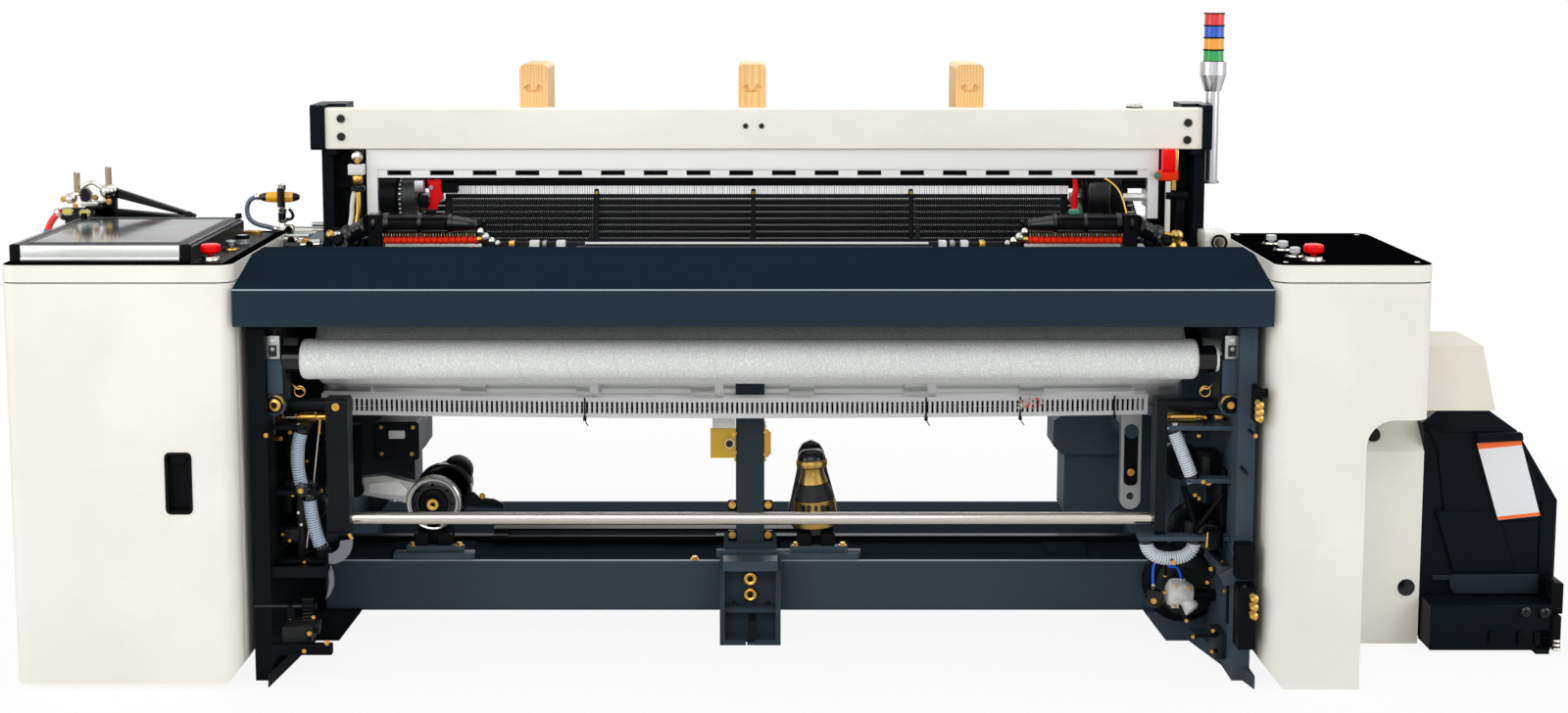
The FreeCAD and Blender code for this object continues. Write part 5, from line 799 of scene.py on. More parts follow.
class Piece:
    """A mesh in loom millimetres, collected from small bodies."""

    made = []

    def __init__(self, name, body="loom_frame", slot="steel"):
        self.name = name
        self.body = body
        self.slot = slot
        self.mesh = bmesh.new()
        self.finishes = []

    def take(self, shape, finish, place=None):
        """Merges a body into this piece, moved by place, in that finish."""
        bmesh.ops.remove_doubles(shape, verts=shape.verts, dist=0.0005)
        if place is not None:
            move(shape, place)
        bmesh.ops.recalc_face_normals(shape, faces=shape.faces)
        if finish not in self.finishes:
            self.finishes.append(finish)
        for face in shape.faces:
            face.material_index = self.finishes.index(finish)
        body = bpy.data.meshes.new("body")
        shape.to_mesh(body)
        shape.free()
        self.mesh.from_mesh(body)
        bpy.data.meshes.remove(body)
        return self

    def add(self, table, out=1, place=None):
        """Takes the bodies that a table lists; out mirrors them and place moves them."""
        words = table.split()
        starts = [number for number, word in enumerate(words) if word in KINDS] + [len(words)]
        for start, stop in zip(starts, starts[1:]):
            kind, finish, *rest = words[start:stop]
            for shape in bodies(kind, rest, out):
                self.take(shape, finish, place)
        return self

    def ring(self, table, count, centre, axis):
        """Takes the bodies that a table lists, count times round an axis through centre."""
        for step in range(count):
            self.add(table, place=Matrix.Translation(centre) @ Matrix.Rotation(math.tau * step / count, 4, axis))
        return self

    def done(self, angle=34.0, replaced=()):
        """Makes the object, in metres in the row frame, and lets it ride."""
        bmesh.ops.translate(self.mesh, vec=SHIFT, verts=self.mesh.verts)
        bmesh.ops.scale(self.mesh, vec=(MM, MM, MM), verts=self.mesh.verts)
        mesh = bpy.data.meshes.new(self.name)
        self.mesh.to_mesh(mesh)
        self.mesh.free()
        mesh.polygons.foreach_set("use_smooth", [True] * len(mesh.polygons))
        mesh.set_sharp_from_angle(angle=math.radians(angle))
        for finish in self.finishes:
            mesh.materials.append(FINISHES[finish])
        piece = add_object(self.name, mesh)
        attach(piece, self.body)
        if replaced:
            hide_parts(*replaced)
        Piece.made.append(piece)


print("shape helpers ready")

# %% [markdown]
# The lids first. A black gasket sits in the seam under each lid, the handle cup has a liner with a rounded frame, and
# the operator panel has an aluminium nose between two moulded corners.

# %% Cabinets and operator panel
LID_SEAM = 931.4
for side, place, size in (("left", "-1414,300", "508 592"), ("right", "1339,277.5", "350 547")):
    Piece(side + "_lid_gasket", slot="black_plastic").add(f"round rubber UP {place},{LID_SEAM} {size} 2.2 30 0").done()
Piece("handle_cup_liner", "left_door", "black_plastic").add("""
round black -1286.5,0,478 61 142 2.2 12 0.6 7
box black 0.3 -1311,-1309.4 0.5,21.5 413.5,542.5 -1263.6,-1262 0.5,21.5 413.5,542.5 -1309,-1264 0.5,21.5 413.2,415
    -1309,-1264 0.5,21.5 541,542.8 -1309,-1264 20,21.8 415,541
box black 2 2 -1304,-1269 6,12 522,541
""").done()
Piece("deck_edges", slot="black_glass").add("""
round gloss_black UP -1414,300,972 512 594 1 31 0.5 25
round gloss_black UP 1339,277.5,972 353 549 1 31 0.5 25
""").done()
Piece("operator_panel_nose", slot="aluminium").add("""
box aluminium 1.2 2 -1631,-1276 27,30.5 977,1013 -1631,-1276 24.5,28 978,986
box black 3.5 3 -1655,-1632 24.5,46 974,1015.4 -1275,-1252 24.5,46 974,1015.4
""").done()
Piece("operator_panel_bezel", slot="black_plastic").add("""
round dark_rim UP -1453.5,280,1014.8 347 448 1 8 0.4 9
round pale_rim UP -1453.5,280,1014.4 396 498 0.9 6 0.4 4
rod black 8 20 1.5 -1264,520,1014 -1264,520,1026 -1644,520,1014 -1644,520,1026
""").done()

# %% [markdown]
# Every button stands in a turned ring. The stop buttons have a chromed collar with a black washer below it.

# %% Button rings
DECK = 972
STOP_BUTTONS = f"-1219,75,{DECK} 1262,72,{DECK}"
PUSH_BUTTONS = f"1237,139,{DECK} 1237,248,{DECK} 1237,357,{DECK}"
START_BUTTON = f"-1219,255,{DECK}"
COLLAR = "1.8,17.2 1.8,19.5 5,18.6 5,17.2"
Piece("button_rings", slot="polished_steel").add(f"""
turn rubber UP {STOP_BUTTONS} 0,17.5 0,27 2.2,26 2.2,17.5
turn chrome UP {STOP_BUTTONS} 2.2,17.2 2.2,20.5 8,19.5 10.5,17.6 10.5,17.2
turn rubber UP {START_BUTTON} {PUSH_BUTTONS} 0,17.2 0,23 1.8,22 1.8,17.2
turn brass UP {START_BUTTON} {COLLAR}
turn chrome UP {PUSH_BUTTONS} {COLLAR}
turn clear_dome UP -1219,370,{DECK} 20,0 20,12 17,15.5 10,17.3 0,17.6 0,18.4 20.5,13 21.5,6 22,0
""").done()
Piece("deck_screws", slot="black_plastic").add(f"""
screw chrome UP 6 2.8 1192,40,{DECK} 1486,40,{DECK} 1192,515,{DECK} 1486,515,{DECK}
screw dark_steel UP 6 2.8 -1186,30,{DECK} -1186,570,{DECK} -1330,578,{DECK}
""").done()

# %% [markdown]
# The top beam is a plain cream box. Its ends are bolted through with black socket screws, and two smaller ones hold
# the rail in the middle. The signal tower's pole has a turned foot ring and a black socket under the lenses.

# %% Top beam and signal tower
Piece("beam_screws", slot="black_plastic").add("""
turn cream -1003,500,1261 -1003,500,1217 1061,500,1251 1060,500,1209 0,0 0,13.5 0.8,13.5 0.8,0
screw dark_steel 10 5 -1003,499.6,1261 -1003,499.6,1217 1061,499.6,1251 1060,499.6,1209
screw dark_steel 6.5 3.5 -17,500,1243 22,500,1243
""").done()
Piece("beam_cap_bolt", slot="steel").add("""
turn soot UP 934,525,1286 0,0 0,21 3,21 3,0
turn chrome UP 934,525,1286 3,0 3,18 10,18 13,14 13,0
""").done()
tower = Piece("signal_tower_rings", slot="black_plastic").add("""
turn cast UP 1141,600,1093 0,16.2 0,20.5 5,20.5 8,18 8,16.2
turn black UP 1141,600,1380 0,25 4,25.6 14,25.6 18,25 18,24.2
""")
for height in (1394.3, 1422.6, 1452.6, 1482.6, 1512.6):
    tower.add(f"turn black UP 1141,600,{height} 0,24.2 0,26 3.4,26 3.4,24.2")
tower.done()

# %% [markdown]
# The rollers below the front cover. Their covers stay as the CAD has them; black sleeves close both ends, and the
# brackets carry aluminium adjusters, side lugs and an eight-sided boss with a brass ring.

# %% Roller ends and brackets
for name, body, y, ends, radius in (("press_roller_sleeves", "press", 110, (-1027, 1012), 31),
                                    ("take_up_sleeves", "take_up", 238.4, (-1010, 1000), 52)):
    sleeves = Piece(name, body, "black_plastic")
    for end in ends:
        sleeves.add(f"turn gloss >{1 if end > 0 else -1},0,0 {end},{y},741 40 0.3,0 0.3,{radius} 40,{radius} "
                    f"43,{radius - 3} 46,{radius - 9} 46,0")
    sleeves.done()
adjusters = Piece("roller_adjusters", slot="aluminium")
for out in (-1, 1):
    adjusters.add("""
    box cast 1.5 2 1070,1102 79,86 746,800
    box dark_steel 1 1077,1095 77.4,80 752,778
    screw cast 5 3 1086,77.6,770
    box aluminium 1 1080,1092 77.8,80 784,795
    box slate 2 2 1066,1106 81.5,86 665,744 1104,1126 84,130 688,717
    turn slate 1086,86,640 8 0,0 0,27 3,27 6,24 6,0
    turn soot 1086,86,640 6,0 6,20 8,20 9,18 9,0
    coil brass 12 1.5 1036,118,664
    bent brass 1.5 8 1024,118,664 1034,116,674 1040,114,668 1048,116,678 1060,122,684
    """, out)
adjusters.add("""
turn brass -1086,86,640 8,6.5 8,14.5 10,15 12,13 13,8 11,6.5
rod rubber -1086,78,640 -1086,75,640 6.5 6 0.4
bolt brass 6.5 4 1086,77,640
""").done()

# %% [markdown]
# Each end has a turnbuckle above the drain hoses: a thin black rod, a chromed clevis, two knurled brass sleeves and a
# ball end at the shaft's arm.

# %% Turnbuckles
turnbuckles = Piece("turnbuckle_parts", slot="brass")
for out, parts in ((-1, "soot,3.4,1100,1064 brass,6,1092,1086 chrome,6,1086,1056 brass,7,1056,1048 "
                        "brass,11,1048,1010 brass,9.8,1008,976 soot,10,976,968"),
                   (1, "soot,3.4,1100,1066 soot,6.4,1066,1048 brass,5,1048,1028 brass,11,1028,964 brass,7,964,950")):
    for part in parts.split():
        finish, radius, start, end = part.split(",")
        turnbuckles.add(f"rod {finish} {radius} 20 1.4 {start},170,593 {end},170,593", out)
for x in range(-1044, -1009, 5):
    turnbuckles.add(f"coil brass RIGHT {x},170,593 10.8 0.8 6 20")
turnbuckles.add("""
box brass 2.5 2 1068,1099 154,160 586,600
bolt soot 3.4 2 1090,154,593
""").done()

# %% [markdown]
# The drain hoses are ribbed plastic tubes. Each follows one smooth line, and its radius goes up and down along the way.
# The air line, the weft tube and the sensor's cable are plain, and use the same sweep.

# %% Hoses and lines
RIB = (12.8, 15.2, 16.0, 15.2)


def end_sleeve(piece, end, beyond, reach, radius, sides, edge, finish):
    """A sleeve round a hose's end; reach is how far from the end it starts and stops."""
    end, inward = Vector(end), (Vector(beyond) - Vector(end)).normalized()
    piece.take(rod(end + inward * reach[0], end + inward * reach[1], radius, sides, edge), finish)


for name, route in (("left_upper_drain", [(-1032, 130, 582), (-1062, 130, 504), (-1034, 130, 426)]),
                    ("left_lower_drain", [(-1022, 130, 424), (-1020, 130, 350), (-994, 130, 284)]),
                    ("right_drain", [(962, 130, 583), (988, 130, 522), (1016, 130, 451)]),
                    ("u_drain", [(909, 130, 322), (907, 130, 268), (1025, 130, 268), (1023, 130, 322)])):
    hose = Piece(name, slot="hose_plastic")
    line = spaced(smooth_line(route, 24), 1.45)
    # The left end's hoses take the darker copy as painted shade, the right end's the lit one.
    hose.take(tube(line, lambda number: RIB[number % 4], 20), "hose" if route[0][0] < 0 else "pale_hose")
    # A dark tube inside the ribs shows in the grooves as painted shade.
    hose.take(tube(line[1:-1:3], 13.9, 20), "hose_groove")
    for end, beyond in ((line[0], line[3]), (line[-1], line[-4])):
        end_sleeve(hose, end, beyond, (4, 17), 17.4, 24, 1, "gloss")
    hose.done(60, replaced=("hoses",))
for name, finish, radius, route in (
        ("air_line", "blue_tube", 3.5, [(954, 250, 160), (948, 248, 200), (958, 246, 236), (984, 246, 214),
                                        (1016, 250, 214), (1020, 250, 172)]),
        ("weft_tube", "red_tube", 8.5, [(-1728, 604, 1022), (-1756, 606, 1000), (-1768, 610, 955), (-1770, 616, 900),
                                        (-1766, 617, 800), (-1742, 614, 755), (-1698, 614, 755)]),
        ("sensor_cable", "grey_cable", 6, [(-1224, 583, 1060), (-1246, 583, 1060), (-1260, 583, 1034),
                                           (-1254, 581, 1004), (-1232, 580, 990), (-1200, 582, 984),
                                           (-1182, 585, 976)])):
    hose = Piece(name, slot="hose_plastic").take(bent(route, radius, 14), finish)
    for end, beyond in ((route[0], route[1]), (route[-1], route[-2])):
        end_sleeve(hose, end, beyond, (2, 12), radius * 1.45, 16, 0.7, "chrome")
    hose.done(60, replaced=("hoses",))

# %% [markdown]
# The jack levers are rough castings round turned hubs. The left hub is a stack of rings, the centre lever is a black
# plate with a bronze barrel, and the black barrels behind them carry the torsion spring.

# %% Jack levers
HUB_RADIUS = 67
hub_rim = [(HUB_RADIUS * math.sin(turn) - 783, HUB_RADIUS * math.cos(turn) + 320)
           for turn in map(math.radians, range(-40, 246, 13))]
left_hub = Piece("left_lever_hub", "left_lever", "aluminium")
left_hub.take(plate([(-991, 344), (-991, 376), (-970, 384), (-900, 391), *hub_rim, (-848, 318), (-880, 326),
                     (-940, 336)], FRONT, (0, 454, 0), 24, 2), "cast")
left_hub.add("""
plate aluminium 0,430,0 2 1.4 -940,372 -870,376 -846,352 -852,338 -880,340 -940,348
box soot 2 -801,-765 430,454 218,290
turn gloss -783,430,320 48 0,0 0,55 6,54 8,50 8,44 4,42 4,0
turn chrome -783,430,320 48 0,61 0,66 2,66.6 4,64 2.4,61
turn soot -783,430,320 40 4,0 4,38 12,36 14,32 14,22 11,20 11,0
turn brass -783,430,320 11,5 11,15 16,14 17,9 15,5
rod rubber -783,418,320 -783,414,320 5.5 6 0.3
""")
left_hub.ring("box soot -3,3 -1.5,1.5 44,52", 8, (-783, 422, 320), "Y").done(40, replaced=("left_jack_lever",))
Piece("left_torsion_barrel", slot="cast_dark").add("""
turn gloss >0,1,0 -765,474,337 48 0,0 0,64 5,69 26,69 30,64 30,0
turn soot >0,1,0 -752,474,350 40 0,0 0,50 6,54 60,54 66,50 66,0
turn soot >0,1,0 -737,500,376 40 0,0 0,35 4,38 46,38 50,34 50,0
bolt bronze 6 -668,470,328
plate soot 0,484,0 12 2 -716,300 -716,330 -690,336 -676,322 -640,318 -616,306 -616,296
""").done(40)
centre = Piece("centre_jack_plate", "centre_lever", "cast_dark").add("""
plate gloss 0,452,0 18 2.5 86,290 108,398 112,448 122,466 143,476 164,466 175,448 184,398 214,290 206,258 180,238
    154,234 128,238 98,258
turn gloss >0.07,0,-1 142,412,462 40 0,0 2,18 8,28 20,34 26,35 26,0
turn bronze >0.07,0,-1 142,412,462 40 26,0 26,35 30,38 42,38 46,34 48,28 60,28 84,36 86,0
turn worn >0.07,0,-1 142,412,462 40 86,0 86,36 104,45 122,50 124,0
turn bronze >0.07,0,-1 142,412,462 40 124,0 124,50 160,54 188,54 190,50 190,0
bolt brass 6 147,388,404
""")
for x in range(114, 187, 18):
    centre.add(f"box worn {x},{x + 7} 354,372 290,332 1.5")
centre.done(40, replaced=("centre_jack_lever",))
Piece("right_lever_fittings", "right_lever", "cast_dark").add("""
round soot 926,430,440 34 150 3 12
bolt brass 7 926,427,398
""").done()

# %% [markdown]
# The centre of the machine: the post's clamp, its foot with brass collars in the recess, and the bases under the
# levers, which are plates stacked on the lower beam and bolted down.

# %% Centre post and bases
middle = Piece("centre_post_fittings", slot="brass").add("""
box white 0.6 -98,-42 436.5,439.5 506,532
turn white -56.5,430.5,469 0,0 0,12 1.2,12 1.2,0
screw dark_steel 8.5 4 -56.5,429.6,469
bolt brass 5.5 5 -46,436,493 -46,436,446 34,436,497 34,436,441
bolt soot RIGHT 8 9 33,452,469
""")
for x in (-50, 38):
    for z in (236, 312):
        middle.add(f"box soot {x - 11},{x + 11} 436,452 {z - 14},{z + 12} 3 2 bolt brass {x},436,{z + 2} 7 5")
middle.done()
Piece("centre_foot_fittings", slot="brass").add("""
box slate 1.5 -72,61 306,366 184,209
screw dark_steel 6.5 4 -43,362.6,90 36,362.6,90
box rubber 0.5 -10,8 361,362.8 24,62 -11,9 313,316 7,60
box navy 0.5 -13,11 310.4,317 0,7.4
turn brass -5.5,358.5,152 -5.5,358.5,112 0,7.5 0,17 3,18 8,15 9,12 7,7.5
rod rubber 8 6 0.5 -5.5,357,152 -5.5,353,152 -5.5,357,112 -5.5,353,112
""").done()
bases = Piece("lever_bases", slot="navy_paint").add("""
box slate 2 2 -89,264 392,414 192.3,211
bolt brass UP 8 6 -141,384,192.3
box soot 2 -1038,1038 532,560 192.3,209
""")
for x in (-783, 154):
    bases.add("""
    box slate 2 2 -92,104 378,414 192.3,208 -62,78 392,414 208,222
    box soot 3 2 -44,-10 396,414 222,252 14,48 396,414 222,252
    bolt brass UP 7 6 -48,402,222 66,402,222
    """, place=Matrix.Translation((x, 0, 0)))
bases.done()

# %% [markdown]
# The weft feeder behind the left cabinet and the sensor on its lid are small clusters of turned parts: threaded studs
# with nuts, clamps with a ball, two oval lenses, and an amber eye on a chromed post.

# %% Weft feeder and sensor


def taper(x0, z0, x1, z1, first, last):
    """The outline of a flat bar between two points, with its thickness at each end."""
    side = Vector((z0 - z1, x1 - x0)).normalized() / 2
    return [(x + side.x * width, z + side.y * width)
            for x, z, width in ((x0, z0, first), (x1, z1, last), (x1, z1, -last), (x0, z0, -first))]


feeder = Piece("weft_feeder_fittings", slot="steel").add("""
box soot 3 2 -1662,-1560 600.3,640 860,1004 -1696,-1672 594,634 740,772 -1696,-1652 600.3,634 744,768
    -1626,-1592 604,630 1004,1080 -1660,-1600 604,630 1000,1034
turn chrome UP -1609,606,1058 0,0 0,12 5,18 14,21 24,18 30,10 31,0
turn chrome UP -1701,602,1042 0,0 0,8 5,14 12,17 20,14 25,8 26,0
round chrome -1664,610,1062 30 42 8 14
round gloss -1664,606,1063 23 34 12 11 2
bent chrome 5.5 12 -1672,606,1082 -1652,604,1098 -1630,606,1084 -1616,606,1070
box cast 3 2 -1678,-1632 598,616 1034,1046
turn chrome >0.3,-1,0.1 -1626,606,1048 0,0 0,9 6,12 14,10 18,0
bolt brass 6 -1719,600,1052 -1606,600,1046
bolt brass 5 -1690,600,1036
bolt bronze 6 -1640,600,1056
round gloss -1688,618,1014 92 32 16 14 3
round gloss -1702,617,1000 34 40 16 13 3
round chrome -1711,602.4,1021 -1668,602.4,1017 29 20 2.6 9
round lemon -1711,601,1021 -1668,601,1017 23 14 4 6.5
box red 4 2 -1676,-1640 590,602 986,1000
turn grey_cable >-0.3,0,-1 -1763,608,975 0,0 0,9.5 22,9.5 24,0
rod black 12 24 2 -1352,560,972 -1352,560,986
bolt dark_steel 7 -1408,606,1012
""")
feeder.take(plate(taper(-1604, 1068, -1396, 1006, 24, 10), FRONT, (0, 636, 0), 18, 4), "gloss")
feeder.take(plate(taper(-1670, 1022, -1410, 1005, 26, 10), FRONT, (0, 622, 0), 18, 4), "gloss")
for x, low, high, turns in ((-1688, 1066, 1119, 9), (-1609, 1084, 1133, 8)):
    feeder.add(f"rod chrome {x},612,{low} {x},612,{high} 7.6 20 1.5 "
               f"turn chrome UP {x},612,{low - 6} 0,8 0,15 3,17 8,15 11,8")
    for turn in range(turns):
        feeder.add(f"coil brass UP {x},612,{low + 6 + 5 * turn} 7.4 0.9 6 18")
feeder.done(40, replaced=("weft_guides",))
Piece("weft_sensor_eye", slot="polished_steel").add("""
turn gloss RIGHT -1226,585,1059 0,0 0,6 8,10 18,12 18,0
turn amber RIGHT -1226,585,1059 18,12 22,13 50,14.6 76,13 84,11.6
turn gloss RIGHT -1226,585,1059 84,0 84,11.8 93,9 99,5 100,0
turn chrome UP -1170,585,972 28 0,0 0,15 6,15 10,11 22,8 26,12 32,12 36,8 44,8 48,10 58,10 60,7 104,7 106,9.5
    118,9.5 120,7 120,0
turn gloss UP -1170,569,1036 28 0,0 0,9 46,9 48,6 48,0
turn gloss UP -1170,578,1006 28 0,0 0,9.4 14,9.4 14,0
bent gloss 4 10 -1160,583,1004 -1146,578,1002 -1140,576,1018 -1152,578,1030
""").done(40, replaced=("weft_guides",))
Piece("deck_rear_fittings", slot="steel").add("""
round brass UP -1240,558,972 48 24 6 10
round chrome UP -1240,558,972 34 14 8 6
rod chrome 11 18 1.5 -1162,566,982 -1138,566,982
rod chrome 3.4 18 1.5 -1138,568,977 -1058,570,979
rod steel 2.4 18 1.5 -1138,560,986 -1058,562,986
rod steel 6.5 18 1.5 -1094,572,992 -1062,572,992
rod chrome 8 18 1.5 -1176,530,962 -1120,524,958
rod cast 7 18 1.5 -1128,540,952 -1066,536,954
rod chrome 5 18 1.5 -1110,500,950 -1060,500,952
rod gloss 9 18 1.5 -1150,500,948 -1112,500,948
bolt soot 7 -1149,552,982 -1086,494,952 -1136,518,960
bolt brass 7 -1104,530,955
box cast 3 2 -1156,-1096 540,600 962,972
box cast 2 -1122,-1062 510,560 940.3,948
box cast 4 2 -1018,-986 446,474 952,990
box soot 3 -1024,-980 474,486 946,996
box cream 4 2 1098,1161 446,540 938,986
coil soot 17 3 1132,442,964
turn chrome 1132,446,964 24 0,0 0,11 3,11 3,0
""").done()

# %% [markdown]
# The upright air feeds under the top beam stack up a valve block, brass and chromed elbows, and black rings. The two
# ends differ: the left one has a white valve cube, and only the right one has the red block.

# %% Nozzle columns
column = Piece("left_nozzle_parts", slot="brass").add("""
box soot 2 2 -1066,-950 600.4,606 950,1186 -979,-953 496,516 1150,1184
box white 2 2 -986,-947 484,510 1124,1150
turn chrome -964,498,1168 24 0,0 0,11 6,14 14,12 18,5 18,0
bolt brass 6 -962,484,1160
bent white 6 12 -970,500,1096 -980,498,1060 -980,498,1020 -988,494,985
turn brass >0,0,-1 -966,502,1122 0,0 0,11 4,12.5 18,12.5 22,10 22,0
turn gloss >0,0,-1 -966,502,1098 0,0 0,15 3,18 12,18 16,13 18,0
bent brass 7 14 -964,498,1082 -962,496,1040 -968,494,1004 -976,492,960
bent soot 3.4 10 -957,498,1082 -954,494,1040 -962,492,1004
box soot 3 2 -1000,-932 494,520 942,956
""")
for finish, x, z, radius in (("brass", -988, 966, 11), ("soot", -958, 960, 14), ("chrome", -968, 978, 8),
                             ("soot", -940, 966, 10)):
    column.add(f"turn {finish} >-0.3,-1,0.2 {x},490,{z} 20 0,0 0,{radius} {radius * 0.7},{radius} "
               f"{radius},{radius * 0.6} {radius},0")
column.done(40, replaced=("nozzle_columns",))
column = Piece("right_nozzle_parts", slot="brass").add("""
box soot 2.5 2 983,1105 600.4,606 950,1186 1009,1063 486,506 1064,1082 1037,1057 500,520 990,1066
box red 2.5 2 999,1030 486,512 1132,1186
box orange 2.5 2 993,1039 490,514 1110,1134
box brass 2.5 2 1031,1040 496,514 1124,1186 1003,1047 470,500 946,984
rod brass 6.5 16 1029,498,1086 1029,498,1124
bolt sea_green 7 989,494,1122
rod white 6.5 16 1015,494,984 1015,494,1108
box soot 3 2 979,1047 494,520 942,956
""")
for x, z, radius in ((1005, 972, 13), (1035, 978, 12), (1049, 952, 10), (1019, 950, 13)):
    column.add(f"turn brass >0.2,-1,0.2 {x},470,{z} 20 0,0 0,{radius} 8,{radius} 12,{radius * 0.5} 12,0")
column.done(40, replaced=("nozzle_columns",))

# %% [markdown]
# Between the top beam and the reed the machine is dark: a black cross bar closes the slots of the rail, and the reed's
# white comb strip runs under it, held by three dark posts with brass tips. The reed itself gets fine dents.

# %% Cross bar and comb strip
Piece("heald_cross_bar", slot="black_paint").add("""
box soot 1 -1040,1080 600,606 1080,1164
box soot 2 -1040,1080 588,604 1080,1104
""").done()
DENTS = 290
FIRST_DENT, REED_WIDTH = -746, 1512
DENT_SIZE, DENT_HEIGHT = (2.7, 9, 102), 407
ROCKING_SHAFT, LEAN = (0, 480, 610), math.radians(-12)
lean = Matrix.Translation(ROCKING_SHAFT) @ Matrix.Rotation(LEAN, 4, "X")
dents = bmesh.new()
for number in range(DENTS):
    place = Matrix.Translation((FIRST_DENT + REED_WIDTH * (number + 0.5) / DENTS, 0, DENT_HEIGHT))
    bmesh.ops.create_cube(dents, size=1.0, matrix=place @ Matrix.Diagonal((*DENT_SIZE, 1)))
Piece("reed_dents", "sley_swing", "reed_steel").add("""
box soot 1 -762,782 -8,6 342,356 -762,782 -6,6 458,474 -762,-746 -6,6 356,458 766,782 -6,6 356,458
box soot 1.2 -392,-380 -15,-7 344,486 -4,8 -15,-7 344,486 386,398 -15,-7 344,486
""", place=lean).take(dents, "soot", lean).add("""
turn bronze -386,558,1072 2,558,1072 392,558,1072 16 0,0 0,5 6,5 10,2 10,0
""").done(replaced=("reed",))
# The comb's finish glows a little: painted light in the shade under the top beam.
Piece("comb_strip", "sley_swing", "reed_steel").add("box ticked_comb 0.5 -762,782 565,568 1069,1089").done()
# Thin bright strips along the tops of the dark stop rails are painted highlights.
lights = Piece("stop_rail_highlight_strips", slot="steel")
for number in range(9):
    y, top = 870 + 30 * number, 883 + 14 * number
    lights.add(f"box cast 0.4 -1036,1036 {y - 0.8},{y + 1.6} {top - 3.4},{top + 0.6}")
lights.done()

# %% [markdown]
# The temples hold the cloth's edges. Each has a ribbed barrel with two collars, a small toothed wheel, a swinging arm
# and a pair of white blocks on the slide beside it.

# %% Temples
temples = Piece("temple_details", slot="black_plastic")
for out in (-1, 1):
    temples.add(f"""
    box gloss 2 724,788 340,346 1034,1041 724,788 340,346 1001,1008 796,868 340,346 1034,1041 796,868 340,346 1001,1008
    rod soot 8 18 640,366,1016 702,366,1018
    turn gloss >1,0,0.06 656,366,1016 28 0,0 0,9 4,12 26,16 60,20 60,0
    box {"sea_green" if out > 0 else "soot"} 3 2 753,778 352,364 1042,1056
    """, out)
    for x, radius, width in ((716, 23, 9), (788, 25, 9), (866, 26, 12), (898, 24, 8)):
        temples.add(f"turn gloss >1,0,0 {x},366,1020 0,18 0,{radius} {width},{radius} "
                    f"{width + 2},{radius - 3} {width + 2},18", out)
    for number in range(34):
        x = 660 + 6.6 * number
        temples.add(f"box {'bronze' if number % 3 else 'cast'} 0 {x - 1.1},{x + 1.1} 341,344 993,999", out)
    for finish, x, z, radius in (("chrome", 646, 1002, 8), ("cast", 634, 990, 9), ("chrome", 620, 980, 8),
                                 ("brass", 650, 984, 7), ("cast", 606, 974, 7)):
        temples.add(f"turn {finish} >0.2,-1,0.3 {x},352,{z} 20 0,0 0,{radius} 7,{radius} 10,{radius * 0.5} 10,0", out)
    for finish, x, z, radius in (("gloss", 968, 996, 16), ("soot", 990, 976, 13), ("soot", 946, 972, 12),
                                 ("bronze", 1010, 990, 9), ("chrome", 926, 994, 7)):
        temples.add(f"turn {finish} >0.2,-1,0.3 {x},384,{z} 24 0,0 0,{radius} 8,{radius + 2} 14,{radius * 0.6} 14,0",
                    out)
    bellows = [Vector((out * (912 + 5 * step), 364 + 2 * step, 1016 - 2.6 * step)) for step in range(12)]
    temples.take(tube(bellows, lambda number: 22 if number % 2 else 27 - number, 20), "gloss")
temples.add("bent brass 2.6 10 842,392,1126 868,384,1112 886,376,1074 892,372,1044").done(40)
Piece("selvedge_levers", slot="red_lever").add("""
plate red_paint 0,548,0 10 2.5 -803,1108 -768,1108 -766,1088 -762,1078 -766,1060 -776,1046 -784,1010 -806,1010
    -806,1030 -797,1048 -796,1070
plate red_paint 0,548,0 10 2.5 788,1110 800,1108 804,1084 800,1060 803,1030 796,1020 787,1030 785,1060 790,1084
rod steel 12 20 -820,575,1060 -770,575,1060 786,575,1060 812,575,1060
bolt cast 4 3 -792,538,1088
rod soot 5 -790,543,1100 -790,543,1122
plate sea_green 0,540,0 8 2 804,1052 812,1044 818,1004 800,1000 798,1030
""").done(replaced=("leno_levers",))
teeth = " ".join(f"{along},{49 if along % 4 else 45}" for along in range(0, 43, 2))
wheel = Piece("selvedge_toothed_wheel", slot="steel")
wheel.add(f"turn steel RIGHT -868,560,1062 48 0,0 0,44 {teeth} 46,42 46,0")
wheel.ring("box cast -3,3 -2.4,2.4 46,51", 24, (-866, 560, 1062), "X").add("""
box cast 4 2 -830,-806 512,540 1078,1108
box soot 3 2 -816,-796 510,530 1040,1070
box soot 3 -764,-724 520,548 1076,1098
box gloss 8 3 822,880 506,526 1022,1104
box soot 2 896,936 600.3,606 1002,1079
""").done(40)
slide = Piece("temple_slide_blocks", slot="valve_white")
for finish, spans in (("white", "-531,-508 -467,-446 444,462 496,514"), ("brass", "-580,-566 540,554"),
                      ("steel", "-500,-490 470,482")):
    for span in spans.split():
        slide.add(f"box {finish} {span} 345,372 958,980 1.5 2")
slide.add("""
box soot 1 -640,-420 348,376 955,962 430,640 348,376 955,962
bolt steel UP 7 5 -404,362,958 -180,362,958 60,362,958 300,362,958
""").done()
Piece("breast_ledge_bars", slot="steel").add("""
box cast 1 -420,430 352,358 957.6,966
box dark_steel 1 -640,640 372,378 957.6,975
rod cast 4 12 -400,364,972 420,364,972
""").done()

# %% [markdown]
# The drive cover is folded sheet. A raised front panel gives it the long creases, with a blank plate where the real
# one carries its notice, and a flange with knobs closes it below.

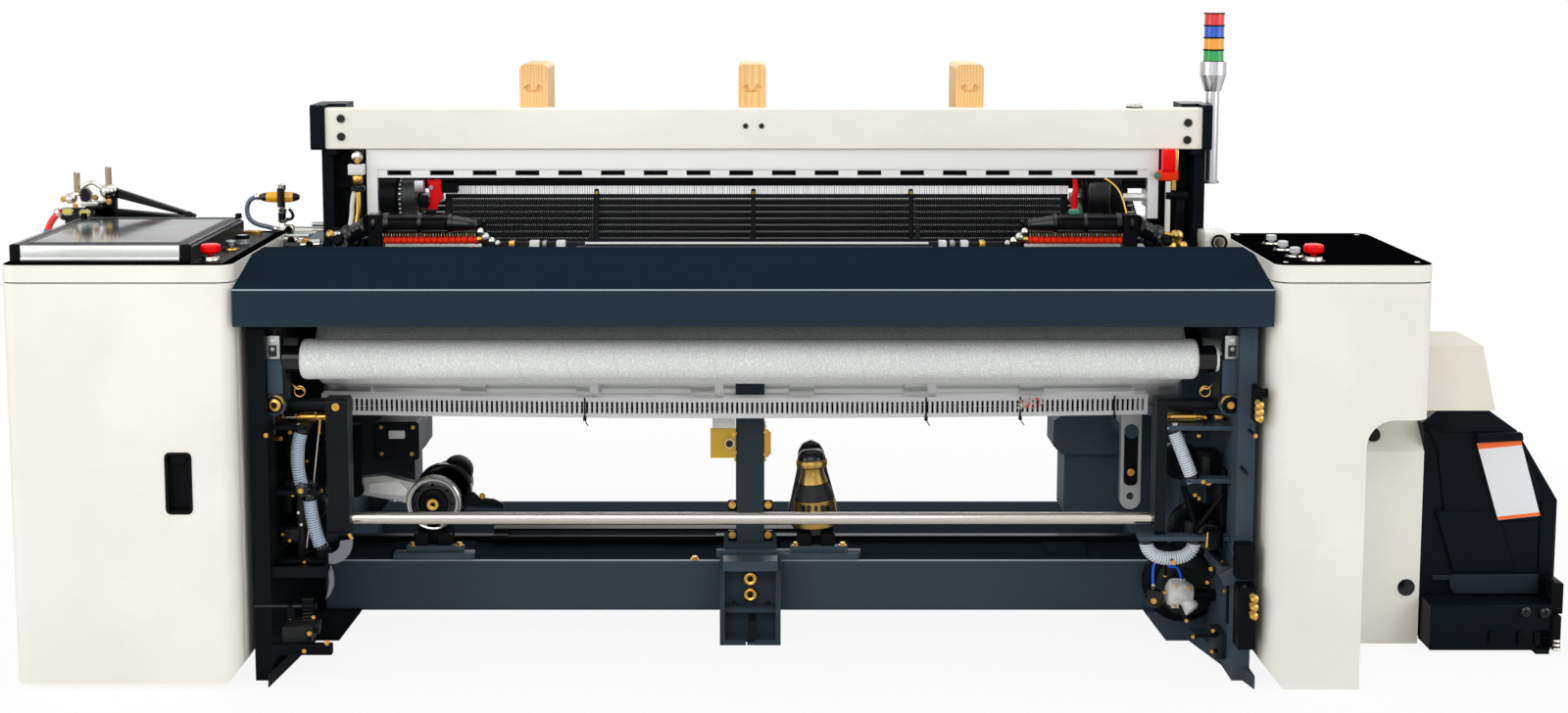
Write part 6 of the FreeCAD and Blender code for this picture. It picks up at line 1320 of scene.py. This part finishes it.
# %% Drive cover and lower side cover
Piece("drive_cover_folds", slot="black_paint").add("""
plate satin 0,330,0 5 3 1612,536 1660,518 1726,518 1893,319 1893,176 1684,176 1640,484
plate satin 0,326,0 8 4 1733,516 1826,516 1890,380 1890,306 1788,302 1726,497
plate satin 0,325.5,0 3 2.4 1640,330 1790,330 1842,180 1690,180
plate satin 0,322,0 14 3 1728,520 1838,524 1842,504 1731,498
box satin 2 1895,1932 326,331 126,350
""").done(25)
NOTICE = [Vector(corner) for corner in ((1732, 496), (1836, 506), (1891, 319), (1790, 308))]
left, right, bottom_right, bottom_left = NOTICE
notice = Piece("blank_notice_plate", slot="valve_white").take(plate(NOTICE, FRONT, (0, 318, 0), 1.4, 0.4), "notice")
for low, high in ((0.004, 0.075), (0.955, 0.996)):
    band = [left.lerp(bottom_left, low), right.lerp(bottom_right, low), right.lerp(bottom_right, high),
            left.lerp(bottom_left, high)]
    notice.take(plate(band, FRONT, (0, 316.8, 0), 0.5, 0.1), "orange_band")
notice.done()
Piece("drive_cover_flange", slot="navy_paint").add("""
plate dark_slate 0,330,0 8 2 1682,172 1895,172 1895,124 1693,124 1682,140
box dark_slate 1.5 1640,1682 322,329 158,170
box satin 2 1613,1902 245,334 9,120
turn gloss 1838,245,105 1884,245,103 0,0 0,12 6,12 10,7.2 10,0
bolt dark_steel 5 4 1840,236,105 1886,236,103
box soot 2 1823,1846 240,246 93,115 1869,1892 240,246 91,113
box soot 2 1752,1766 236,246 24,56 1820,1834 236,246 24,56 1860,1874 236,246 24,56
box soot 4 2 1900,1930 250,330 96,172
turn gloss UP 1920,300,108 0,0 0,20 6,24 30,24 36,18 36,0
turn soot UP 1918,300,122 0,0 0,28 5,28 8,20 8,0
bolt chrome 7 1908,262,140
box soot 3 2 1900,1922 236,268 16,96
turn chrome UP 1910,236,14 1910,236,24 1910,236,34 20 0,0 0,9 3,11 6,9 6,0
""").done(40)
Piece("side_cover_plugs", slot="black_plastic").add("""
turn notice 1577,324,140 40 0,19 0,25 1.6,25 1.6,19
turn gloss 1577,324,140 40 -2,0 -1,12 1.8,19 1.8,21 0,21
turn gloss >0,-0.75,0.66 1492,354,510 0,0 0,20 3,19 4,12 4,0
""").done(40)

# %% [markdown]
# The duct carries wires, held by ties and sagging a little towards the middle. A small clump of loose thread hangs
# from it near its right end.

# %% Duct wires and ties


def sag(x):
    """How far the duct hangs down at x."""
    return 8 * (1 - (x / 1000) ** 2)


wires = Piece("duct_wires", slot="black_plastic")
random.seed(4)
for number in range(7):
    route = [(x, 344 + 3 * math.sin(number * 2 + x / 90), 573 + 5 * number + 4 * math.sin(number + x / 130) - sag(x))
             for x in range(-1000, 921, 60)]
    wires.take(tube(smooth_line(route, 3), 3.4, 6), "rubber")
wires.done(60)
ties = Piece("duct_ties", slot="black_plastic")
for x in (-401, 415, 640, 865):
    down = sag(x)
    ties.add(f"""
    box rubber 0.4 {x - 2},{x + 2} 325.4,366.5 {561 - down},{563 - down}
        {x - 2},{x + 2} 325,326.6 {562 - down},{612 - down}
    box rubber 1.2 {x - 4},{x + 4} 321,327 {556 - down},{566 - down}
    bent rubber 1.3 6 {x},323,{560 - down} {x + 4},318,{550 - down} {x + 9},316,{546 - down}
    """)
ties.done(60)
threads = Piece("thread_clump", slot="valve_white")
for number in range(26):
    x, z = random.uniform(640, 690), random.uniform(588, 604)
    away = random.uniform(-18, 18)
    strand = [(x, 326, z), (x + away, 321, z + random.uniform(-4, 10)), (x - away * 0.6, 318, z - 6),
              (x + away, 322, z - random.uniform(4, 16))]
    threads.take(bent(strand, 0.8, 5, 3), "thread" if number % 5 else "red")
threads.done(60)

# %% [markdown]
# The ends of the machine are packed with dark gear: castings, drums, ribs, rods and brass bolts. They sit in the
# shade, so their edges and the brass are what shows.

# %% End gear
left_gear = Piece("left_end_gear", slot="cast_dark").add("""
drum soot 1070,300,360 58 60
drum soot 1004,300,470 40 50
drum worn 1062,250,310 30 46
drum soot 1010,280,560 30 40
drum soot 1040,350,690 36 30
box soot 3 2 1060,1100 210,260 452,560 1074,1100 180,230 360,440 1030,1100 160,240 318,334 980,1100 100,130 262,272
    960,1100 40,60 66,92 1048,1064 56,70 144,180
box worn 3 2 1040,1056 150,200 262,430 1048,1090 150,180 300,330 1010,1076 54,120 88,128
nut brass 6 1096,176,540 1080,206,548 1010,40,118 1022,36,78 1010,200,410 1090,10,586
nut brass 5 1064,146,414 1030,96,268 1004,60,150 1036,176,486
nut chrome 4 1052,146,372 1046,146,344 1058,60,148
nut brass 4 1090,146,320 1074,146,306
nut brass 7 970,36,98
rod dark_steel 4 14 1140,60,176 1000,60,176
rod soot 8 14 1030,60,176 996,60,176
rod chrome 2.4 14 1020,150,408 996,140,586 1036,150,286 1020,150,408
rod brass 4.5 14 998,140,560 995,140,596
rod worn 17 14 1070,110,118 1000,110,112
rod dark_steel 5 14 1100,130,720 1100,130,560
rod soot 4 14 1090,10,586 1104,64,586 1064,146,414 1064,244,414 1036,176,486 1064,220,486 1010,200,410 1044,198,408
    1010,42,118 1012,48,86 970,38,98 970,46,82 1004,275,470 1080,235,470 1010,262,556 1080,235,552
    1040,340,690 1040,404,690
""", -1)
turns = [math.radians(angle) for angle in range(-96, 9, 8)]
hook = [(-968 + 52 * math.cos(turn), 318 + 52 * math.sin(turn)) for turn in turns]
hook += [(-970 + 24 * math.cos(turn), 318 + 26 * math.sin(turn)) for turn in reversed(turns)]
left_gear.take(plate(hook, FRONT, (0, 92, 0), 5, 1.2), "grey_casting")
for z in range(140, 189, 8):
    left_gear.add(f"box worn -1030,-1006 62,70 {z},{z + 4}")
left_gear.add("""
rod brass 4 8 1 -918,92,324 -926,92,338
plate grey_casting 0,92,0 4 1 -968,264 -961,242 -961,216 -970,194 -982,182 -976,204 -973,226 -975,248
turn gloss -1035,112,436 24 0,0 0,16 10,16 14,10 14,0
bolt brass 5 -1035,98,436
rod soot 18.6 20 2 -994,130,292 -994,130,250
""").done(40)
right_gear = Piece("right_end_gear", slot="cast_dark").add("""
drum soot 1052,300,300 62 60
drum soot 1010,280,470 44 44
drum gloss 1058,180,318 34 50
drum soot 1040,360,150 96 40
drum worn 1046,330,150 74 30
drum soot 1020,320,560 34 40
drum soot 1040,350,690 36 30
box soot 3 2 1036,1088 180,230 432,508 1084,1100 150,300 300,470 1096,1138 20,60 250,330 1100,1140 6,64 90,236
    1128,1140 6,64 612,694
box worn 3 2 1044,1062 160,190 446,500 1076,1100 120,200 30,90
nut brass 8 1058,160,440
nut brass 7 968,96,268
nut brass 6 1060,120,246 1126,4,586
nut brass 5 1036,160,402 1024,146,414 1078,120,240 1052,120,214 1086,120,262 1090,110,196 1024,120,560 960,150,222
    1022,120,84 1064,110,52 1066,110,102 1010,140,116
nut brass 4 1040,130,600
nut dark_steel 5 1110,4,500 1110,4,240
rod soot 7 14 1000,160,430 1030,150,330
rod soot 6 14 1030,150,330 1090,140,420 1100,110,120 1100,110,240
rod worn 11 14 1014,150,350 1014,150,300
rod brass 12 14 1014,146,322 1014,146,312
rod soot 18 14 1066,110,300 1066,110,336
rod brass 4 14 1047,110,300 1049,110,336
rod soot 4 14 1036,162,402 1012,158,398 1024,148,414 1006,158,408 1060,122,246 1074,122,246 1052,122,214 1072,122,242
    1086,122,262 1072,122,262 1024,122,560 1026,122,578 1040,132,600 1040,132,580 968,98,268 968,118,268
    960,148,222 959,136,256 1022,122,84 1080,124,86 1064,112,52 1080,124,50 1066,112,102 1080,124,86
    1010,142,116 1012,234,126 1110,6,500 1110,64,500 1126,6,586 1126,64,586 1010,258,470 1094,262,464
    1020,300,560 1062,364,546 1040,340,690 1040,404,690
plate slate 0,366,0 6 3 1046,560 1140,560 1140,330 1100,360 1052,420 1040,500
plate slate 0,64,0 8 2 1082,330 1138,240 1138,228 1078,224 1064,250 1100,268 1098,290
box soot 3 2 1118,1152 0,10 672,694
""")
for z in (655, 640, 625, 210, 190, 170):
    right_gear.add(f"turn brass >-0.6,-0.7,0.1 1136,8,{z} 18 0,0 0,9 4,11 9,8 12,5 12,0 bolt bronze 1128,3,{z + 8} 5 4")
right_gear.done(40)

# %% [markdown]
# The air valve has a ribbed white body with a small gauge, and the box behind the left end's levers has a bolted lid.

# %% Valve and drive box
valve = Piece("air_valve_body", slot="valve_white")
valve.ring("box white 1.5 -16,16 -4,4 31,36", 8, (1012, 250, 148), "X").add("""
turn white >1,0,-0.12 984,250,152 36 0,0 0,20 6,30 22,34 40,33 52,27 60,24 60,0
turn white >0.6,-0.4,-0.7 1020,242,138 0,0 0,20 22,20 24,22 34,21 38,15 38,0
rod soot 14 1040,250,144 1100,250,144
rod brass 6 954,250,144 986,250,150
turn gloss 954,242,142 36 0,0 0,21 4,22.5 14,22.5 18,19.5 18,16.5 15,16 15,0
turn brass 950,242,136 24 15,0 15,9 17.6,7 18,0
coil chrome 18 1.2 6 28 954,226,142
bolt brass 4 5 1002,228,172 1032,228,168 1034,228,128 1000,228,126
""").done(40, replaced=("air_valve",))
Piece("left_drive_box_fittings", slot="cast_dark").add("""
round cast -868,421,494 40 20 3 3
round soot -870,430,478 112 96 10 10
box soot 3 -920,-820 429,563 436,520
bolt bronze 4 4 -906,420,512 -828,420,512 -832,420,446 -906,420,446
""").done()
print("new pieces:", len(Piece.made))

# %% [markdown]
# The floor is one large pale sheet. To the camera it glows softly, so that it is simply white apart from the loom's
# shadow, and further away it is all glow. Other rays see an ordinary pale floor, so it lights the loom as a floor does.

# %% Floor
FLOOR_HALF = 30.0
GLOW_START, GLOW_FULL = 2.0, 3.6            # metres from the middle of the footprint
floor_shape = bmesh.new()
bmesh.ops.create_grid(floor_shape, x_segments=1, y_segments=1, size=FLOOR_HALF)
floor_mesh = bpy.data.meshes.new("floor")
floor_shape.to_mesh(floor_mesh)
floor_shape.free()
floor = add_object("floor", floor_mesh)
pale = Finish("pale_floor").set(Base_Color=(0.86, 0.86, 0.86, 1), Roughness=0.8)
distance = pale.add("ShaderNodeVectorMath", {"operation": "LENGTH"}, pale.place, output="Value")
to_camera = pale.add("ShaderNodeLightPath", {}, output="Is Camera Ray")
glow = pale.add("ShaderNodeEmission", {}, Strength=1.0)
mixed = pale.add("ShaderNodeMixShader", {}, to_camera * (0.9 + 0.1 * distance.smooth(GLOW_START, GLOW_FULL)),
                 Amount(pale, pale.shader.outputs[0]), glow)
pale.fill(pale.tree.nodes["Material Output"].inputs["Surface"], mixed)
floor_mesh.materials.append(pale.material)
